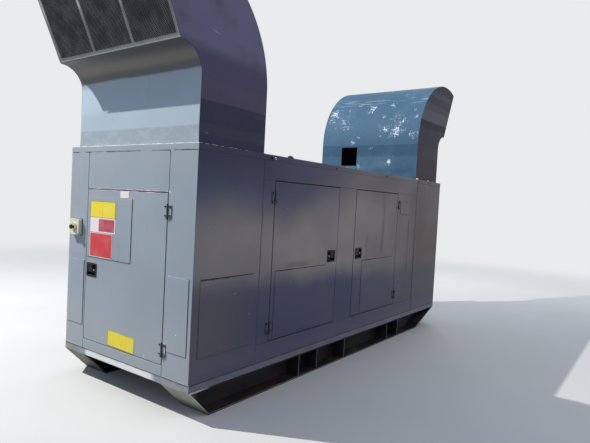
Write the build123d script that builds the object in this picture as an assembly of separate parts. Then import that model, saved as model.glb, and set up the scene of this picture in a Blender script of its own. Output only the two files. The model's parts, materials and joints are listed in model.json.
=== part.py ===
"""Generator set in a steel enclosure on a skid, with a curved scoop cowl at each end of its roof.

Millimetres. +X runs along the set, from the end with the door towards the far end. -Y is the side
with the two opening doors. +Z is up, and the origin is the middle of the base, on the ground.
Heights on the walls are counted from the deck, which is the top of the skid.
"""
import os
from math import cos, radians, sin

from build123d import *

# Enclosure
LENGTH = 4750.0
WIDTH = 1620.0
BOX_HEIGHT = 1800.0
WALL = 50.0
SKIRT_HEIGHT = 55.0
SKIRT_WIDTH = 60.0
ROOF_THICKNESS = 47.0
FLOOR_THICKNESS = 8.0
CORNER_RADIUS = 6.0
NEAR_CORNER_LENGTH = 730.0
FAR_SECTION_LENGTH = 835.0

# Skid
RUNNER_HEIGHT = 220.0
RUNNER_WIDTH = 300.0
RUNNER_FLANGE = 12.0
RUNNER_WEB = 10.0
NEAR_NOSE = 220.0
FAR_NOSE = 620.0
STIFFENER = 10.0
NEAR_STIFFENERS = (1376.0, 1682.0, 2210.0)
FAR_STIFFENERS = (1514.0, 1209.0)
NEAR_BEAMS = (470.0, 1529.0)
FAR_BEAMS = (2250.0, 1361.0, 760.0)
BEAM_WIDTH = 80.0
BEAM_HEIGHT = 110.0

# Door openings: the strips of wall round them, from which the doors take their size
END_HINGE_PANEL = 300.0
END_LATCH_PANEL = 273.0
END_DOOR_SILL = 137.0
END_DOOR_HEADER = 360.0
NEAR_POST = 156.0
MIDDLE_POST = 340.0
FAR_POST = 563.0
SIDE_DOOR_SILL = 212.0
SIDE_DOOR_HEADER = 210.0
DOOR_GAP = 6.0
DOOR_THICKNESS = 45.0

# Raised plates on the doors and walls
PLATE = 5.0
DOOR_PLATE_RISE = 26.0
DOOR_PLATE_HEIGHT = 577.0
NEAR_PLATE_HINGE_MARGIN = 56.0
NEAR_PLATE_LATCH_MARGIN = 203.0
FAR_PLATE_HINGE_MARGIN = 102.0
FAR_PLATE_LATCH_MARGIN = 198.0
END_PLATE_HINGE_MARGIN = 428.0
END_PLATE_LATCH_MARGIN = 19.0
END_PLATE_TOP_MARGIN = 70.0
END_PLATE_LATCH_CLEARANCE = 53.0
WALL_PLATE_FOOT = 258.0
WALL_PLATE_HEIGHT = 562.0
WALL_PLATE_CORNER_MARGIN = 40.0
WALL_PLATE_DOOR_MARGIN = 50.0
LATCH_WALL_PLATE_MARGIN = 20.0
SIDE_PLATE_CORNER_MARGIN = 70.0
SIDE_PLATE_SEAM_MARGIN = 62.0
HATCH_WIDTH = 250.0
HATCH_HEIGHT = 170.0
HATCH_FOOT = 1330.0
HATCH_MARGIN = 68.0

# Hinges
HINGE_HEIGHT = 110.0
LEAF_WIDTH = 44.0
LEAF = 4.0
LEAF_CORNER = 8.0
KNUCKLE_RADIUS = 7.0
HINGE_OFFSET = 8.0
PIN_RADIUS = 3.5
PIN_CLEARANCE = 0.5
PIN_END = 4.0
HINGE_RISE = 124.0
HINGE_DROP = 142.0

# Latches
LATCH_WIDTH = 145.0
LATCH_HEIGHT = 118.0
LATCH_DEPTH = 28.0
LATCH_RIM = 12.0
LATCH_SHEET = 2.0
LATCH_CLEARANCE = 1.0
LATCH_CORNER = 5.0
PADDLE = 6.0
FINGER_GAP = 24.0
LOCK_RADIUS = 9.0
END_LATCH_RISE = 612.0
SIDE_LATCH_RISE = 686.0
END_LATCH_MARGIN = 94.0
NEAR_LATCH_MARGIN = 112.0
FAR_LATCH_MARGIN = 107.0

# Cowls
COWL_SHEET = 5.0
COWL_END_INSET = 45.0
COWL_SIDE_INSET = 50.0
COWL_STRAIGHT = 490.0
COWL_INNER_RADIUS = 200.0
COWL_DEPTH = 730.0
COWL_OPENING_MARGIN = 10.0
LIP_ANGLE = 92.0
HOOD_ANGLE = 110.0
MOUTH_BAR = 30.0
MOUTH_BAR_DEPTH = 10.0
MESH = 3.0
VENT_WIDTH = 255.0
VENT_HEIGHT = 265.0
VENT_ABOVE_ROOF = 188.0
VENT_FROM_EDGE = 388.0

# Box with a stop knob, on the end wall
STOP_BOX = 140.0
STOP_BOX_DEPTH = 35.0
STOP_BOX_CORNER = 12.0
STOP_BOX_HEIGHT = 1102.0
STOP_BOX_FROM_EDGE = 132.0
STOP_RING_RADIUS = 38.0
STOP_RING = 8.0
STOP_STEM_RADIUS = 12.0
STOP_STEM = 16.0
STOP_KNOB_RADIUS = 20.0
STOP_KNOB = 12.0

# Bed rails, feet and the height of the shaft over the deck
RAIL_SPACING = 640.0
RAIL_WIDTH = 80.0
RAIL_HEIGHT = 160.0
RAIL_SHEET = 10.0
SHAFT_HEIGHT = 560.0
FOOT_LENGTH = 120.0
FOOT = 20.0

# Engine
ENGINE_LENGTH = 1250.0
BLOCK_WIDTH = 440.0
BLOCK_ABOVE_SHAFT = 360.0
BLOCK_BELOW_SHAFT = 130.0
SUMP_WIDTH = 360.0
SUMP_DEPTH = 190.0
SUMP_MARGIN = 160.0
HEAD_WIDTH = 330.0
HEAD_HEIGHT = 130.0
HEAD_MARGIN = 60.0
COVER_WIDTH = 240.0
COVER_HEIGHT = 110.0
COVER_CHAMFER = 35.0
FLYWHEEL_RADIUS = 290.0
FLYWHEEL_DEPTH = 90.0
MANIFOLD_RADIUS = 45.0
PORT = 60.0
CYLINDERS = 6
FILTER_RADIUS = 130.0
FILTER_LENGTH = 420.0
FAN_SPACE = 190.0
FAN_TO_CORE = 40.0
FAN_RADIUS = 400.0
FAN_DEPTH = 70.0
FAN_BLADES = 8
FAN_BLADE = 6.0
FAN_PITCH = 35.0
FAN_HUB_RADIUS = 95.0
FAN_SHAFT_RADIUS = 35.0

# Radiator
RADIATOR_SETBACK = 130.0
RADIATOR_DEPTH = 120.0
RADIATOR_WIDTH = 1180.0
RADIATOR_HEIGHT = 1250.0
TANK_HEIGHT = 110.0
TANK_OVERHANG = 30.0
SHROUD_DEPTH = 130.0
SHROUD_SHEET = 6.0
SHROUD_CLEARANCE = 20.0

# Alternator
ALTERNATOR_RADIUS = 270.0
ALTERNATOR_LENGTH = 760.0
END_BELL_RADIUS = 225.0
END_BELL_DEPTH = 80.0
TERMINAL_BOX_LENGTH = 420.0
TERMINAL_BOX_WIDTH = 380.0
TERMINAL_BOX_RISE = 100.0

# Control cabinet behind the end door
CABINET_WIDTH = 800.0
CABINET_DEPTH = 260.0
CABINET_HEIGHT = 1100.0
CABINET_SETBACK = 90.0
CABINET_DOOR = 20.0
CABINET_DOOR_MARGIN = 25.0
PLINTH_HEIGHT = 100.0
PLINTH_INSET = 30.0

# Levels and planes worked out from the sizes above
NEAR = -LENGTH / 2
FAR = LENGTH / 2
SIDE = -WIDTH / 2
HIDDEN = WIDTH / 2
DECK = RUNNER_HEIGHT
FLOOR = DECK + FLOOR_THICKNESS
WALL_FOOT = DECK + SKIRT_HEIGHT
ROOF = DECK + BOX_HEIGHT
WALL_TOP = ROOF - ROOF_THICKNESS
NEAR_SEAM = NEAR + NEAR_CORNER_LENGTH
FAR_SEAM = FAR - FAR_SECTION_LENGTH
BEND_LEVEL = ROOF + COWL_STRAIGHT
COWL_HALF_WIDTH = WIDTH / 2 - COWL_SIDE_INSET
COWL_OUTER_RADIUS = COWL_INNER_RADIUS + COWL_DEPTH
COWL_CENTRE = NEAR + COWL_END_INSET - COWL_INNER_RADIUS
RAIL_TOP = FLOOR + RAIL_HEIGHT
RAIL_EDGE = RAIL_SPACING / 2 + RAIL_WIDTH
SHAFT = DECK + SHAFT_HEIGHT
CORE_END = FAR_SEAM - RADIATOR_SETBACK
CORE_START = CORE_END - RADIATOR_DEPTH
ENGINE_END = CORE_START - FAN_SPACE
ENGINE_START = ENGINE_END - ENGINE_LENGTH
ALTERNATOR_START = ENGINE_START - ALTERNATOR_LENGTH

# Door openings: their two edges along the wall, and their foot and head
SIDE_DOOR_WIDTH = (FAR_SEAM - NEAR_SEAM - NEAR_POST - MIDDLE_POST - FAR_POST) / 2
NEAR_BAY = (NEAR_SEAM + NEAR_POST, NEAR_SEAM + NEAR_POST + SIDE_DOOR_WIDTH)
FAR_BAY = (FAR_SEAM - FAR_POST - SIDE_DOOR_WIDTH, FAR_SEAM - FAR_POST)
SIDE_LEVELS = (DECK + SIDE_DOOR_SILL, ROOF - SIDE_DOOR_HEADER)
END_BAY = (SIDE + END_HINGE_PANEL, HIDDEN - END_LATCH_PANEL)
END_LEVELS = (DECK + END_DOOR_SILL, ROOF - END_DOOR_HEADER)

# Where the latches sit: their middles, facing out
END_LATCH = Pos(NEAR, END_BAY[1] - END_LATCH_MARGIN, END_LEVELS[0] + END_LATCH_RISE) * Rot(0, 0, -90)
NEAR_LATCH = Pos(NEAR_BAY[1] - NEAR_LATCH_MARGIN, SIDE, SIDE_LEVELS[0] + SIDE_LATCH_RISE)
FAR_LATCH = Pos(FAR_BAY[0] + FAR_LATCH_MARGIN, SIDE, SIDE_LEVELS[0] + SIDE_LATCH_RISE)


def slab(x0, x1, y0, y1, z0, z1):
    """Box between six planes."""
    middle = ((x0 + x1) / 2, (y0 + y1) / 2, (z0 + z1) / 2)
    return Pos(*middle) * Box(abs(x1 - x0), abs(y1 - y0), abs(z1 - z0))


def rod(x0, x1, y, z, radius):
    """Cylinder along X."""
    return Pos((x0 + x1) / 2, y, z) * Rot(0, 90, 0) * Cylinder(radius, abs(x1 - x0))


def mirrored_x(shape):
    return shape.mirror(Plane.YZ)


def mirrored_y(shape):
    return shape.mirror(Plane.XZ)


def both_sides(shape):
    return Compound([shape, mirrored_y(shape)])


def upright_sheet(outline, y0, y1):
    """Solid between two Y planes from a closed outline drawn in X and Z."""
    face = make_face(Plane.XZ * outline)
    return Pos(0, max(y0, y1), 0) * extrude(face, amount=abs(y1 - y0), dir=(0, -1, 0))


# Skid

def runner_outline(inset):
    """Side view of a runner with its two sloped ends, drawn in by the flange for the pockets."""
    outline = Polyline(
        (NEAR, RUNNER_HEIGHT),
        (NEAR + NEAR_NOSE, 0),
        (FAR - FAR_NOSE, 0),
        (FAR, RUNNER_HEIGHT),
        close=True,
    )
    face = make_face(outline)
    if inset:
        face = offset(face, amount=-inset, kind=Kind.INTERSECTION)
    return Plane.XZ * face


def runner():
    """Skid beam of the visible side: web, flanges and sloped ends, stiffened on its outer side."""
    pocket_depth = (RUNNER_WIDTH - RUNNER_WEB) / 2
    body = extrude(runner_outline(0), amount=RUNNER_WIDTH, dir=(0, 1, 0))
    pocket = extrude(runner_outline(RUNNER_FLANGE), amount=pocket_depth, dir=(0, 1, 0))
    body -= pocket
    body -= Pos(0, pocket_depth + RUNNER_WEB, 0) * pocket
    places = [NEAR + place for place in NEAR_STIFFENERS] + [FAR - place for place in FAR_STIFFENERS]
    for x in places:
        body += slab(x - STIFFENER / 2, x + STIFFENER / 2, 0, pocket_depth + RUNNER_WEB / 2,
                     RUNNER_FLANGE / 2, RUNNER_HEIGHT - RUNNER_FLANGE / 2)
    return Pos(0, SIDE, 0) * body


def cross_beams():
    """Beams level with the deck, with ends that reach under the runners' flanges to their webs."""
    web_reach = WIDTH / 2 - (RUNNER_WIDTH + RUNNER_WEB) / 2
    flange_reach = WIDTH / 2 - RUNNER_WIDTH
    foot = DECK - BEAM_HEIGHT
    beams = []
    for x in [NEAR + place for place in NEAR_BEAMS] + [FAR - place for place in FAR_BEAMS]:
        x0 = x - BEAM_WIDTH / 2
        x1 = x + BEAM_WIDTH / 2
        beam = slab(x0, x1, -flange_reach, flange_reach, foot, DECK)
        beam += slab(x0, x1, -web_reach, web_reach, foot, DECK - RUNNER_FLANGE)
        beams.append(beam)
    return Compound(beams)


def inside_skirt(z0, z1):
    return slab(NEAR + SKIRT_WIDTH, FAR - SKIRT_WIDTH, SIDE + SKIRT_WIDTH, HIDDEN - SKIRT_WIDTH, z0, z1)


def skirt_frame():
    """Rail round the foot of the walls."""
    return slab(NEAR, FAR, SIDE, HIDDEN, DECK, WALL_FOOT) - inside_skirt(DECK, WALL_FOOT)


def floor_plate():
    return inside_skirt(DECK, FLOOR)


# Walls and roof

def corner_panel(side_length, end_length):
    """Panel folded round the near corner of the visible side."""
    panel = slab(NEAR, NEAR + side_length, SIDE, SIDE + WALL, WALL_FOOT, WALL_TOP)
    panel += slab(NEAR, NEAR + WALL, SIDE, SIDE + end_length, WALL_FOOT, WALL_TOP)
    corner = panel.edges().filter_by(Axis.Z).sort_by_distance((NEAR, SIDE, ROOF / 2))[0]
    return fillet(corner, CORNER_RADIUS)


def near_corner_panels():
    hinge_side = corner_panel(NEAR_CORNER_LENGTH, END_HINGE_PANEL)
    latch_side = mirrored_y(corner_panel(NEAR_CORNER_LENGTH, END_LATCH_PANEL))
    return Compound([hinge_side, latch_side])


def far_corner_panels():
    return both_sides(mirrored_x(corner_panel(FAR_SECTION_LENGTH, END_HINGE_PANEL)))


def far_end_panel():
    half = WIDTH / 2 - END_HINGE_PANEL
    return slab(FAR - WALL, FAR, -half, half, WALL_FOOT, WALL_TOP)


def end_door_surround():
    """Sill under the end door and panel over it."""
    sill = slab(NEAR, NEAR + WALL, *END_BAY, WALL_FOOT, END_LEVELS[0])
    over = slab(NEAR, NEAR + WALL, *END_BAY, END_LEVELS[1], WALL_TOP)
    return Compound([sill, over])


def side_strip(x0, x1, z0, z1):
    return slab(x0, x1, SIDE, SIDE + WALL, z0, z1)


def side_wall_rails():
    """Sill under the side doors and header over them, from seam to seam."""
    sill = side_strip(NEAR_SEAM, FAR_SEAM, WALL_FOOT, SIDE_LEVELS[0])
    header = side_strip(NEAR_SEAM, FAR_SEAM, SIDE_LEVELS[1], WALL_TOP)
    return Compound([sill, header])


def side_wall_posts():
    """Strips before, between and after the side doors."""
    edges = ((NEAR_SEAM, NEAR_BAY[0]), (NEAR_BAY[1], FAR_BAY[0]), (FAR_BAY[1], FAR_SEAM))
    return Compound([side_strip(x0, x1, *SIDE_LEVELS) for x0, x1 in edges])


def hidden_side_wall():
    """Wall of the hidden side, with a doorway for each fixed door."""
    wall = side_strip(NEAR_SEAM, FAR_SEAM, WALL_FOOT, WALL_TOP)
    for bay in (NEAR_BAY, FAR_BAY):
        wall -= side_strip(*bay, *SIDE_LEVELS)
    return mirrored_y(wall)


def cowl_air_way():
    """Hole through the roof under the near cowl."""
    start = NEAR + COWL_END_INSET + COWL_OPENING_MARGIN
    end = COWL_CENTRE + COWL_OUTER_RADIUS - COWL_OPENING_MARGIN
    half = COWL_HALF_WIDTH - COWL_OPENING_MARGIN
    return slab(start, end, -half, half, WALL_TOP, ROOF)


def roof_panel(x0, x1):
    return slab(x0, x1, SIDE, HIDDEN, WALL_TOP, ROOF)


def near_roof():
    return roof_panel(NEAR, -FAR_SEAM) - cowl_air_way()


# Doors and their latches

def latch_pocket():
    """Cut in a door for the cup of its latch."""
    half = LATCH_WIDTH / 2 - LATCH_RIM + LATCH_CLEARANCE
    half_z = LATCH_HEIGHT / 2 - LATCH_RIM + LATCH_CLEARANCE
    return slab(-half, half, 0, LATCH_DEPTH + LATCH_CLEARANCE, -half_z, half_z)


def latch():
    """Recessed paddle latch that faces -Y, for a door with its hinges to the right."""
    half = LATCH_WIDTH / 2
    half_z = LATCH_HEIGHT / 2
    rim = slab(-half, half, -LEAF, 0, -half_z, half_z)
    rim = chamfer(rim.edges().filter_by(Axis.Y), LATCH_CORNER)
    cup = slab(-half + LATCH_RIM, half - LATCH_RIM, 0, LATCH_DEPTH,
               -half_z + LATCH_RIM, half_z - LATCH_RIM)
    inner = half - LATCH_RIM - LATCH_SHEET
    inner_z = half_z - LATCH_RIM - LATCH_SHEET
    hollow = slab(-inner, inner, -LEAF, LATCH_DEPTH - LATCH_SHEET, -inner_z, inner_z)
    paddle = slab(-inner, inner - 2 * FINGER_GAP, 0, PADDLE, -inner_z + FINGER_GAP, inner_z)
    lock_length = LATCH_DEPTH - LATCH_SHEET / 2
    lock = Pos(inner - FINGER_GAP, lock_length / 2, 0) * Rot(90, 0, 0) * Cylinder(LOCK_RADIUS, lock_length)
    return (rim + cup - hollow) + paddle + lock


def near_latch():
    return NEAR_LATCH * mirrored_x(latch())


def far_latch():
    return FAR_LATCH * latch()


def side_door(bay):
    return slab(bay[0] + DOOR_GAP, bay[1] - DOOR_GAP, SIDE, SIDE + DOOR_THICKNESS,
                SIDE_LEVELS[0] + DOOR_GAP, SIDE_LEVELS[1] - DOOR_GAP)


def near_door():
    return side_door(NEAR_BAY) - NEAR_LATCH * latch_pocket()


def far_door():
    return side_door(FAR_BAY) - FAR_LATCH * latch_pocket()


def end_door():
    leaf = slab(NEAR, NEAR + DOOR_THICKNESS, END_BAY[0] + DOOR_GAP, END_BAY[1] - DOOR_GAP,
                END_LEVELS[0] + DOOR_GAP, END_LEVELS[1] - DOOR_GAP)
    return leaf - END_LATCH * latch_pocket()


# Raised plates

def side_plate(x0, x1, foot, height):
    return slab(x0, x1, SIDE - PLATE, SIDE, foot, foot + height)


def end_plate(y0, y1, foot, height):
    return slab(NEAR - PLATE, NEAR, y0, y1, foot, foot + height)


def low_side_plate(x0, x1):
    """Plate at the foot of the side doors, and level with it on the near panel."""
    return side_plate(x0, x1, SIDE_LEVELS[0] + DOOR_PLATE_RISE, DOOR_PLATE_HEIGHT)


def near_door_plate():
    return low_side_plate(NEAR_BAY[0] + NEAR_PLATE_HINGE_MARGIN, NEAR_BAY[1] - NEAR_PLATE_LATCH_MARGIN)


def far_door_plate():
    return low_side_plate(FAR_BAY[0] + FAR_PLATE_LATCH_MARGIN, FAR_BAY[1] - FAR_PLATE_HINGE_MARGIN)


def end_door_plate():
    """Plate over the latch of the end door."""
    foot = END_LEVELS[0] + END_LATCH_RISE + LATCH_HEIGHT / 2 + END_PLATE_LATCH_CLEARANCE
    top = END_LEVELS[1] - END_PLATE_TOP_MARGIN
    return end_plate(END_BAY[0] + END_PLATE_HINGE_MARGIN, END_BAY[1] - END_PLATE_LATCH_MARGIN,
                     foot, top - foot)


def end_wall_plates():
    """Plates on the end wall, on the hinge side and the latch side of the door."""
    foot = DECK + WALL_PLATE_FOOT
    hinge_side = end_plate(SIDE + WALL_PLATE_CORNER_MARGIN, END_BAY[0] - WALL_PLATE_DOOR_MARGIN,
                           foot, WALL_PLATE_HEIGHT)
    latch_side = end_plate(END_BAY[1] + LATCH_WALL_PLATE_MARGIN, HIDDEN - LATCH_WALL_PLATE_MARGIN,
                           foot, WALL_PLATE_HEIGHT)
    return [hinge_side, latch_side]


def wall_plates():
    """Plates on the end wall, a large plate on the near corner panel and a hatch by the far door."""
    large = low_side_plate(NEAR + SIDE_PLATE_CORNER_MARGIN, NEAR_SEAM - SIDE_PLATE_SEAM_MARGIN)
    start = FAR_BAY[1] + HATCH_MARGIN
    hatch = side_plate(start, start + HATCH_WIDTH, DECK + HATCH_FOOT, HATCH_HEIGHT)
    return Compound(end_wall_plates() + [large, hatch])


# Hinges: modelled for a door to the right of the axis, and mirrored for one to the left

def leaf():
    """Hinge leaf right of the axis, with its two outer corners cut."""
    half = HINGE_HEIGHT / 2
    plate = slab(0, LEAF_WIDTH, -LEAF, 0, -half, half)
    return chamfer(plate.edges().filter_by(Axis.Y).group_by(Axis.X)[-1], LEAF_CORNER)


def knuckle_notch(z0, z1):
    """Room beside the axis for the knuckle of the other leaf."""
    reach = KNUCKLE_RADIUS + 2 * PIN_CLEARANCE
    return slab(-reach, reach, -2 * HINGE_OFFSET, 0, z0, z1)


def hinge_cylinder(radius, z0, z1):
    return Pos(0, -HINGE_OFFSET, (z0 + z1) / 2) * Cylinder(radius, z1 - z0)


def fixed_leaf():
    """Leaf on the frame, with the lower knuckle and the pin that stands up from it."""
    half = HINGE_HEIGHT / 2
    plate = mirrored_x(leaf()) - knuckle_notch(-PIN_CLEARANCE, half)
    knuckle = hinge_cylinder(KNUCKLE_RADIUS, -half, -PIN_CLEARANCE)
    pin = hinge_cylinder(PIN_RADIUS, -half, half - PIN_END)
    return plate + knuckle + pin


def moving_leaf():
    """Leaf on the door, with the bored upper knuckle."""
    half = HINGE_HEIGHT / 2
    plate = leaf() - knuckle_notch(-half, PIN_CLEARANCE)
    knuckle = hinge_cylinder(KNUCKLE_RADIUS, PIN_CLEARANCE, half)
    bore = hinge_cylinder(PIN_RADIUS + PIN_CLEARANCE, -half, half)
    return (plate + knuckle) - bore


def closed_hinge():
    """Both leaves of a hinge on a door that stays shut."""
    half = HINGE_HEIGHT / 2
    return leaf() + mirrored_x(leaf()) + hinge_cylinder(KNUCKLE_RADIUS, -half, half)


def hinge_levels(levels):
    return levels[0] + HINGE_RISE, levels[1] - HINGE_DROP


def end_hinges(shape):
    turned = Rot(0, 0, -90) * mirrored_x(shape)
    return [Pos(NEAR, END_BAY[0], z) * turned for z in hinge_levels(END_LEVELS)]


def near_hinges(shape):
    return [Pos(NEAR_BAY[0], SIDE, z) * shape for z in hinge_levels(SIDE_LEVELS)]


def far_hinges(shape):
    return [Pos(FAR_BAY[1], SIDE, z) * mirrored_x(shape) for z in hinge_levels(SIDE_LEVELS)]


def fixed_hinge_leaves():
    shape = fixed_leaf()
    return Compound(end_hinges(shape) + near_hinges(shape) + far_hinges(shape))


def hidden_door_ironwork():
    """Hinges and latches of the two doors that stay shut on the hidden side."""
    shape = closed_hinge()
    pieces = near_hinges(shape) + far_hinges(shape) + [near_latch(), far_latch()]
    return Compound([mirrored_y(piece) for piece in pieces])


# Cowls: the near one is modelled, and the far one is its mirror image

def bend_point(radius, angle):
    return COWL_CENTRE + radius * cos(radians(angle)), BEND_LEVEL + radius * sin(radians(angle))


def rising_edge(radius, angle):
    """Edge from the roof straight up to the bend, and round it by the angle."""
    foot = (COWL_CENTRE + radius, ROOF)
    arc = ThreePointArc(bend_point(radius, 0), bend_point(radius, angle / 2), bend_point(radius, angle))
    return [Line(foot, bend_point(radius, 0)), arc]


def duct_outline(inner, outer, inner_angle, outer_angle):
    """Closed outline between two edges that rise and bend round the same centre."""
    outline = rising_edge(inner, inner_angle) + rising_edge(outer, outer_angle)
    outline.append(Line(bend_point(inner, inner_angle), bend_point(outer, outer_angle)))
    outline.append(Line((COWL_CENTRE + outer, ROOF), (COWL_CENTRE + inner, ROOF)))
    return Wire(outline)


def between_cheeks(outline):
    half = COWL_HALF_WIDTH - COWL_SHEET
    return upright_sheet(outline, -half, half)


def bent_sheet(radius, angle):
    return between_cheeks(duct_outline(radius, radius + COWL_SHEET, angle, angle))


def cowl_back():
    return bent_sheet(COWL_OUTER_RADIUS - COWL_SHEET, HOOD_ANGLE)


def cowl_front():
    return bent_sheet(COWL_INNER_RADIUS, LIP_ANGLE)


def cowl_cheeks():
    outline = duct_outline(COWL_INNER_RADIUS, COWL_OUTER_RADIUS, LIP_ANGLE, HOOD_ANGLE)
    return both_sides(upright_sheet(outline, -COWL_HALF_WIDTH, COWL_SHEET - COWL_HALF_WIDTH))


def far_cowl_back():
    """Back of the far cowl, with its square hole."""
    foot = ROOF + VENT_ABOVE_ROOF
    edge = HIDDEN - VENT_FROM_EDGE
    hole = slab(0, FAR, edge - VENT_WIDTH, edge, foot, foot + VENT_HEIGHT)
    return mirrored_x(cowl_back()) - hole


def mouth_plane():
    """Plane of the mouth from its lip, with X across the cowl and Y up the slanted opening."""
    lip = bend_point(COWL_INNER_RADIUS, LIP_ANGLE)
    top = bend_point(COWL_OUTER_RADIUS, HOOD_ANGLE)
    slope = Vector(top[0] - lip[0], 0, top[1] - lip[1])
    inwards = Vector(slope.Z, 0, -slope.X)
    return Plane(origin=(lip[0], 0, lip[1]), x_dir=(0, 1, 0), z_dir=inwards), slope.length


def in_mouth(sketch, plane, depth):
    """Flat pieces in both mouths, trimmed to the inside of the cowl."""
    air = duct_outline(COWL_INNER_RADIUS + COWL_SHEET, COWL_OUTER_RADIUS - COWL_SHEET,
                       LIP_ANGLE, HOOD_ANGLE)
    solid = extrude(plane * sketch, amount=depth) & between_cheeks(air)
    return Compound([solid, mirrored_x(solid)])


def cowl_mouth_bars():
    """Bars round each mouth, with two upright bars at thirds."""
    plane, height = mouth_plane()
    width = 2 * (COWL_HALF_WIDTH - COWL_SHEET)
    frame = Pos(0, height / 2) * Rectangle(width, height)
    pane = (width - 4 * MOUTH_BAR) / 3
    window = height - 2 * (MOUTH_BAR + COWL_SHEET)
    for index in (-1, 0, 1):
        frame -= Pos(index * (pane + MOUTH_BAR), height / 2) * Rectangle(pane, window)
    return in_mouth(frame, plane, MOUTH_BAR_DEPTH)


def cowl_mesh():
    """Wire mesh behind the bars, as one thin sheet in each mouth."""
    plane, height = mouth_plane()
    sheet = Pos(0, height / 2) * Rectangle(2 * (COWL_HALF_WIDTH - COWL_SHEET), height)
    return in_mouth(sheet, plane.offset(MOUTH_BAR_DEPTH), MESH)


# Fittings

def stop_box():
    """Box with a stop knob, on the end wall beside the door."""
    y = HIDDEN - STOP_BOX_FROM_EDGE
    z = DECK + STOP_BOX_HEIGHT
    half = STOP_BOX / 2
    face = NEAR - STOP_BOX_DEPTH
    ring_face = face - STOP_RING
    stem_end = ring_face - STOP_STEM
    box = slab(face, NEAR, y - half, y + half, z - half, z + half)
    box = chamfer(box.edges().filter_by(Axis.X), STOP_BOX_CORNER)
    box += rod(ring_face, face, y, z, STOP_RING_RADIUS)
    box += rod(stem_end, ring_face, y, z, STOP_STEM_RADIUS)
    return box + rod(stem_end - STOP_KNOB, stem_end, y, z, STOP_KNOB_RADIUS)


# Machinery

def bed_rails():
    """Two channels on the floor that carry the engine and the alternator."""
    rail = slab(ALTERNATOR_START, ENGINE_END, -RAIL_EDGE, -RAIL_SPACING / 2, FLOOR, RAIL_TOP)
    rail -= slab(ALTERNATOR_START, ENGINE_END, -RAIL_EDGE, -RAIL_SPACING / 2 - RAIL_SHEET,
                 FLOOR + RAIL_SHEET, RAIL_TOP - RAIL_SHEET)
    return both_sides(rail)


def feet(x, half_width):
    """Plate across both rails, with an upright gusset that narrows to the body it carries."""
    low = RAIL_TOP + FOOT
    plate = slab(x, x + FOOT_LENGTH, -RAIL_EDGE, RAIL_EDGE, RAIL_TOP, low)
    outline = Polyline((-RAIL_EDGE, low), (RAIL_EDGE, low), (half_width, SHAFT), (-half_width, SHAFT),
                       close=True)
    gusset = extrude(Plane.YZ * make_face(outline), amount=FOOT, dir=(1, 0, 0))
    return plate + Pos(x + (FOOT_LENGTH - FOOT) / 2, 0, 0) * gusset


def engine_body():
    """Block, sump, head and rocker cover."""
    top = SHAFT + BLOCK_ABOVE_SHAFT
    bottom = SHAFT - BLOCK_BELOW_SHAFT
    head_top = top + HEAD_HEIGHT
    body = slab(ENGINE_START, ENGINE_END, -BLOCK_WIDTH / 2, BLOCK_WIDTH / 2, bottom, top)
    sump = slab(ENGINE_START + SUMP_MARGIN, ENGINE_END - SUMP_MARGIN, -SUMP_WIDTH / 2, SUMP_WIDTH / 2,
                bottom - SUMP_DEPTH, bottom)
    body += chamfer(sump.edges().group_by(Axis.Z)[0], COVER_CHAMFER)
    body += slab(ENGINE_START + HEAD_MARGIN, ENGINE_END - HEAD_MARGIN, -HEAD_WIDTH / 2, HEAD_WIDTH / 2,
                 top, head_top)
    cover = slab(ENGINE_START + 2 * HEAD_MARGIN, ENGINE_END - 2 * HEAD_MARGIN, -COVER_WIDTH / 2,
                 COVER_WIDTH / 2, head_top, head_top + COVER_HEIGHT)
    return body + chamfer(cover.edges().group_by(Axis.Z)[-1], COVER_CHAMFER)


def exhaust_manifold():
    """Pipe along the head with a square branch to each cylinder."""
    y = -HEAD_WIDTH / 2 - 2 * MANIFOLD_RADIUS
    z = SHAFT + BLOCK_ABOVE_SHAFT + HEAD_HEIGHT / 2
    pitch = (ENGINE_LENGTH - 4 * HEAD_MARGIN) / CYLINDERS
    first = ENGINE_START + 2 * HEAD_MARGIN + pitch / 2
    last = first + (CYLINDERS - 1) * pitch
    pipe = rod(first - MANIFOLD_RADIUS, last + MANIFOLD_RADIUS, y, z, MANIFOLD_RADIUS)
    for number in range(CYLINDERS):
        x = first + number * pitch
        pipe += slab(x - PORT / 2, x + PORT / 2, y, 0, z - PORT / 2, z + PORT / 2)
    return pipe


def air_filter():
    """Round filter beside the rocker cover, on a bracket from the block."""
    top = SHAFT + BLOCK_ABOVE_SHAFT
    start = ENGINE_START + 2 * HEAD_MARGIN
    middle = start + FILTER_LENGTH / 2
    y = HEAD_WIDTH / 2 + FILTER_RADIUS
    z = top + HEAD_HEIGHT + FILTER_RADIUS
    body = rod(start, start + FILTER_LENGTH, y, z, FILTER_RADIUS)
    return body + slab(middle - FOOT, middle + FOOT, 0, y + FILTER_RADIUS / 2, top - FOOT, z)


def engine():
    body = engine_body() + exhaust_manifold() + air_filter()
    body += rod(ENGINE_START, ENGINE_START + FLYWHEEL_DEPTH, 0, SHAFT, FLYWHEEL_RADIUS)
    body += rod(ENGINE_END, CORE_START - FAN_TO_CORE - FAN_DEPTH, 0, SHAFT, FAN_SHAFT_RADIUS)
    return body + feet(ENGINE_END - SUMP_MARGIN, BLOCK_WIDTH / 2)


def engine_fan():
    """Fan hub with pitched blades, on the end of the engine's shaft."""
    end = CORE_START - FAN_TO_CORE
    start = end - FAN_DEPTH
    root = FAN_HUB_RADIUS / 2
    chord = FAN_DEPTH / cos(radians(FAN_PITCH)) - FAN_BLADE
    span = FAN_RADIUS - root
    blade = Pos(0, 0, root + span / 2) * Rot(0, 0, FAN_PITCH) * Box(chord, FAN_BLADE, span)
    fan = rod(start, end, 0, SHAFT, FAN_HUB_RADIUS)
    for number in range(FAN_BLADES):
        fan += Pos((start + end) / 2, 0, SHAFT) * Rot(360 * number / FAN_BLADES, 0, 0) * blade
    return fan


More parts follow.
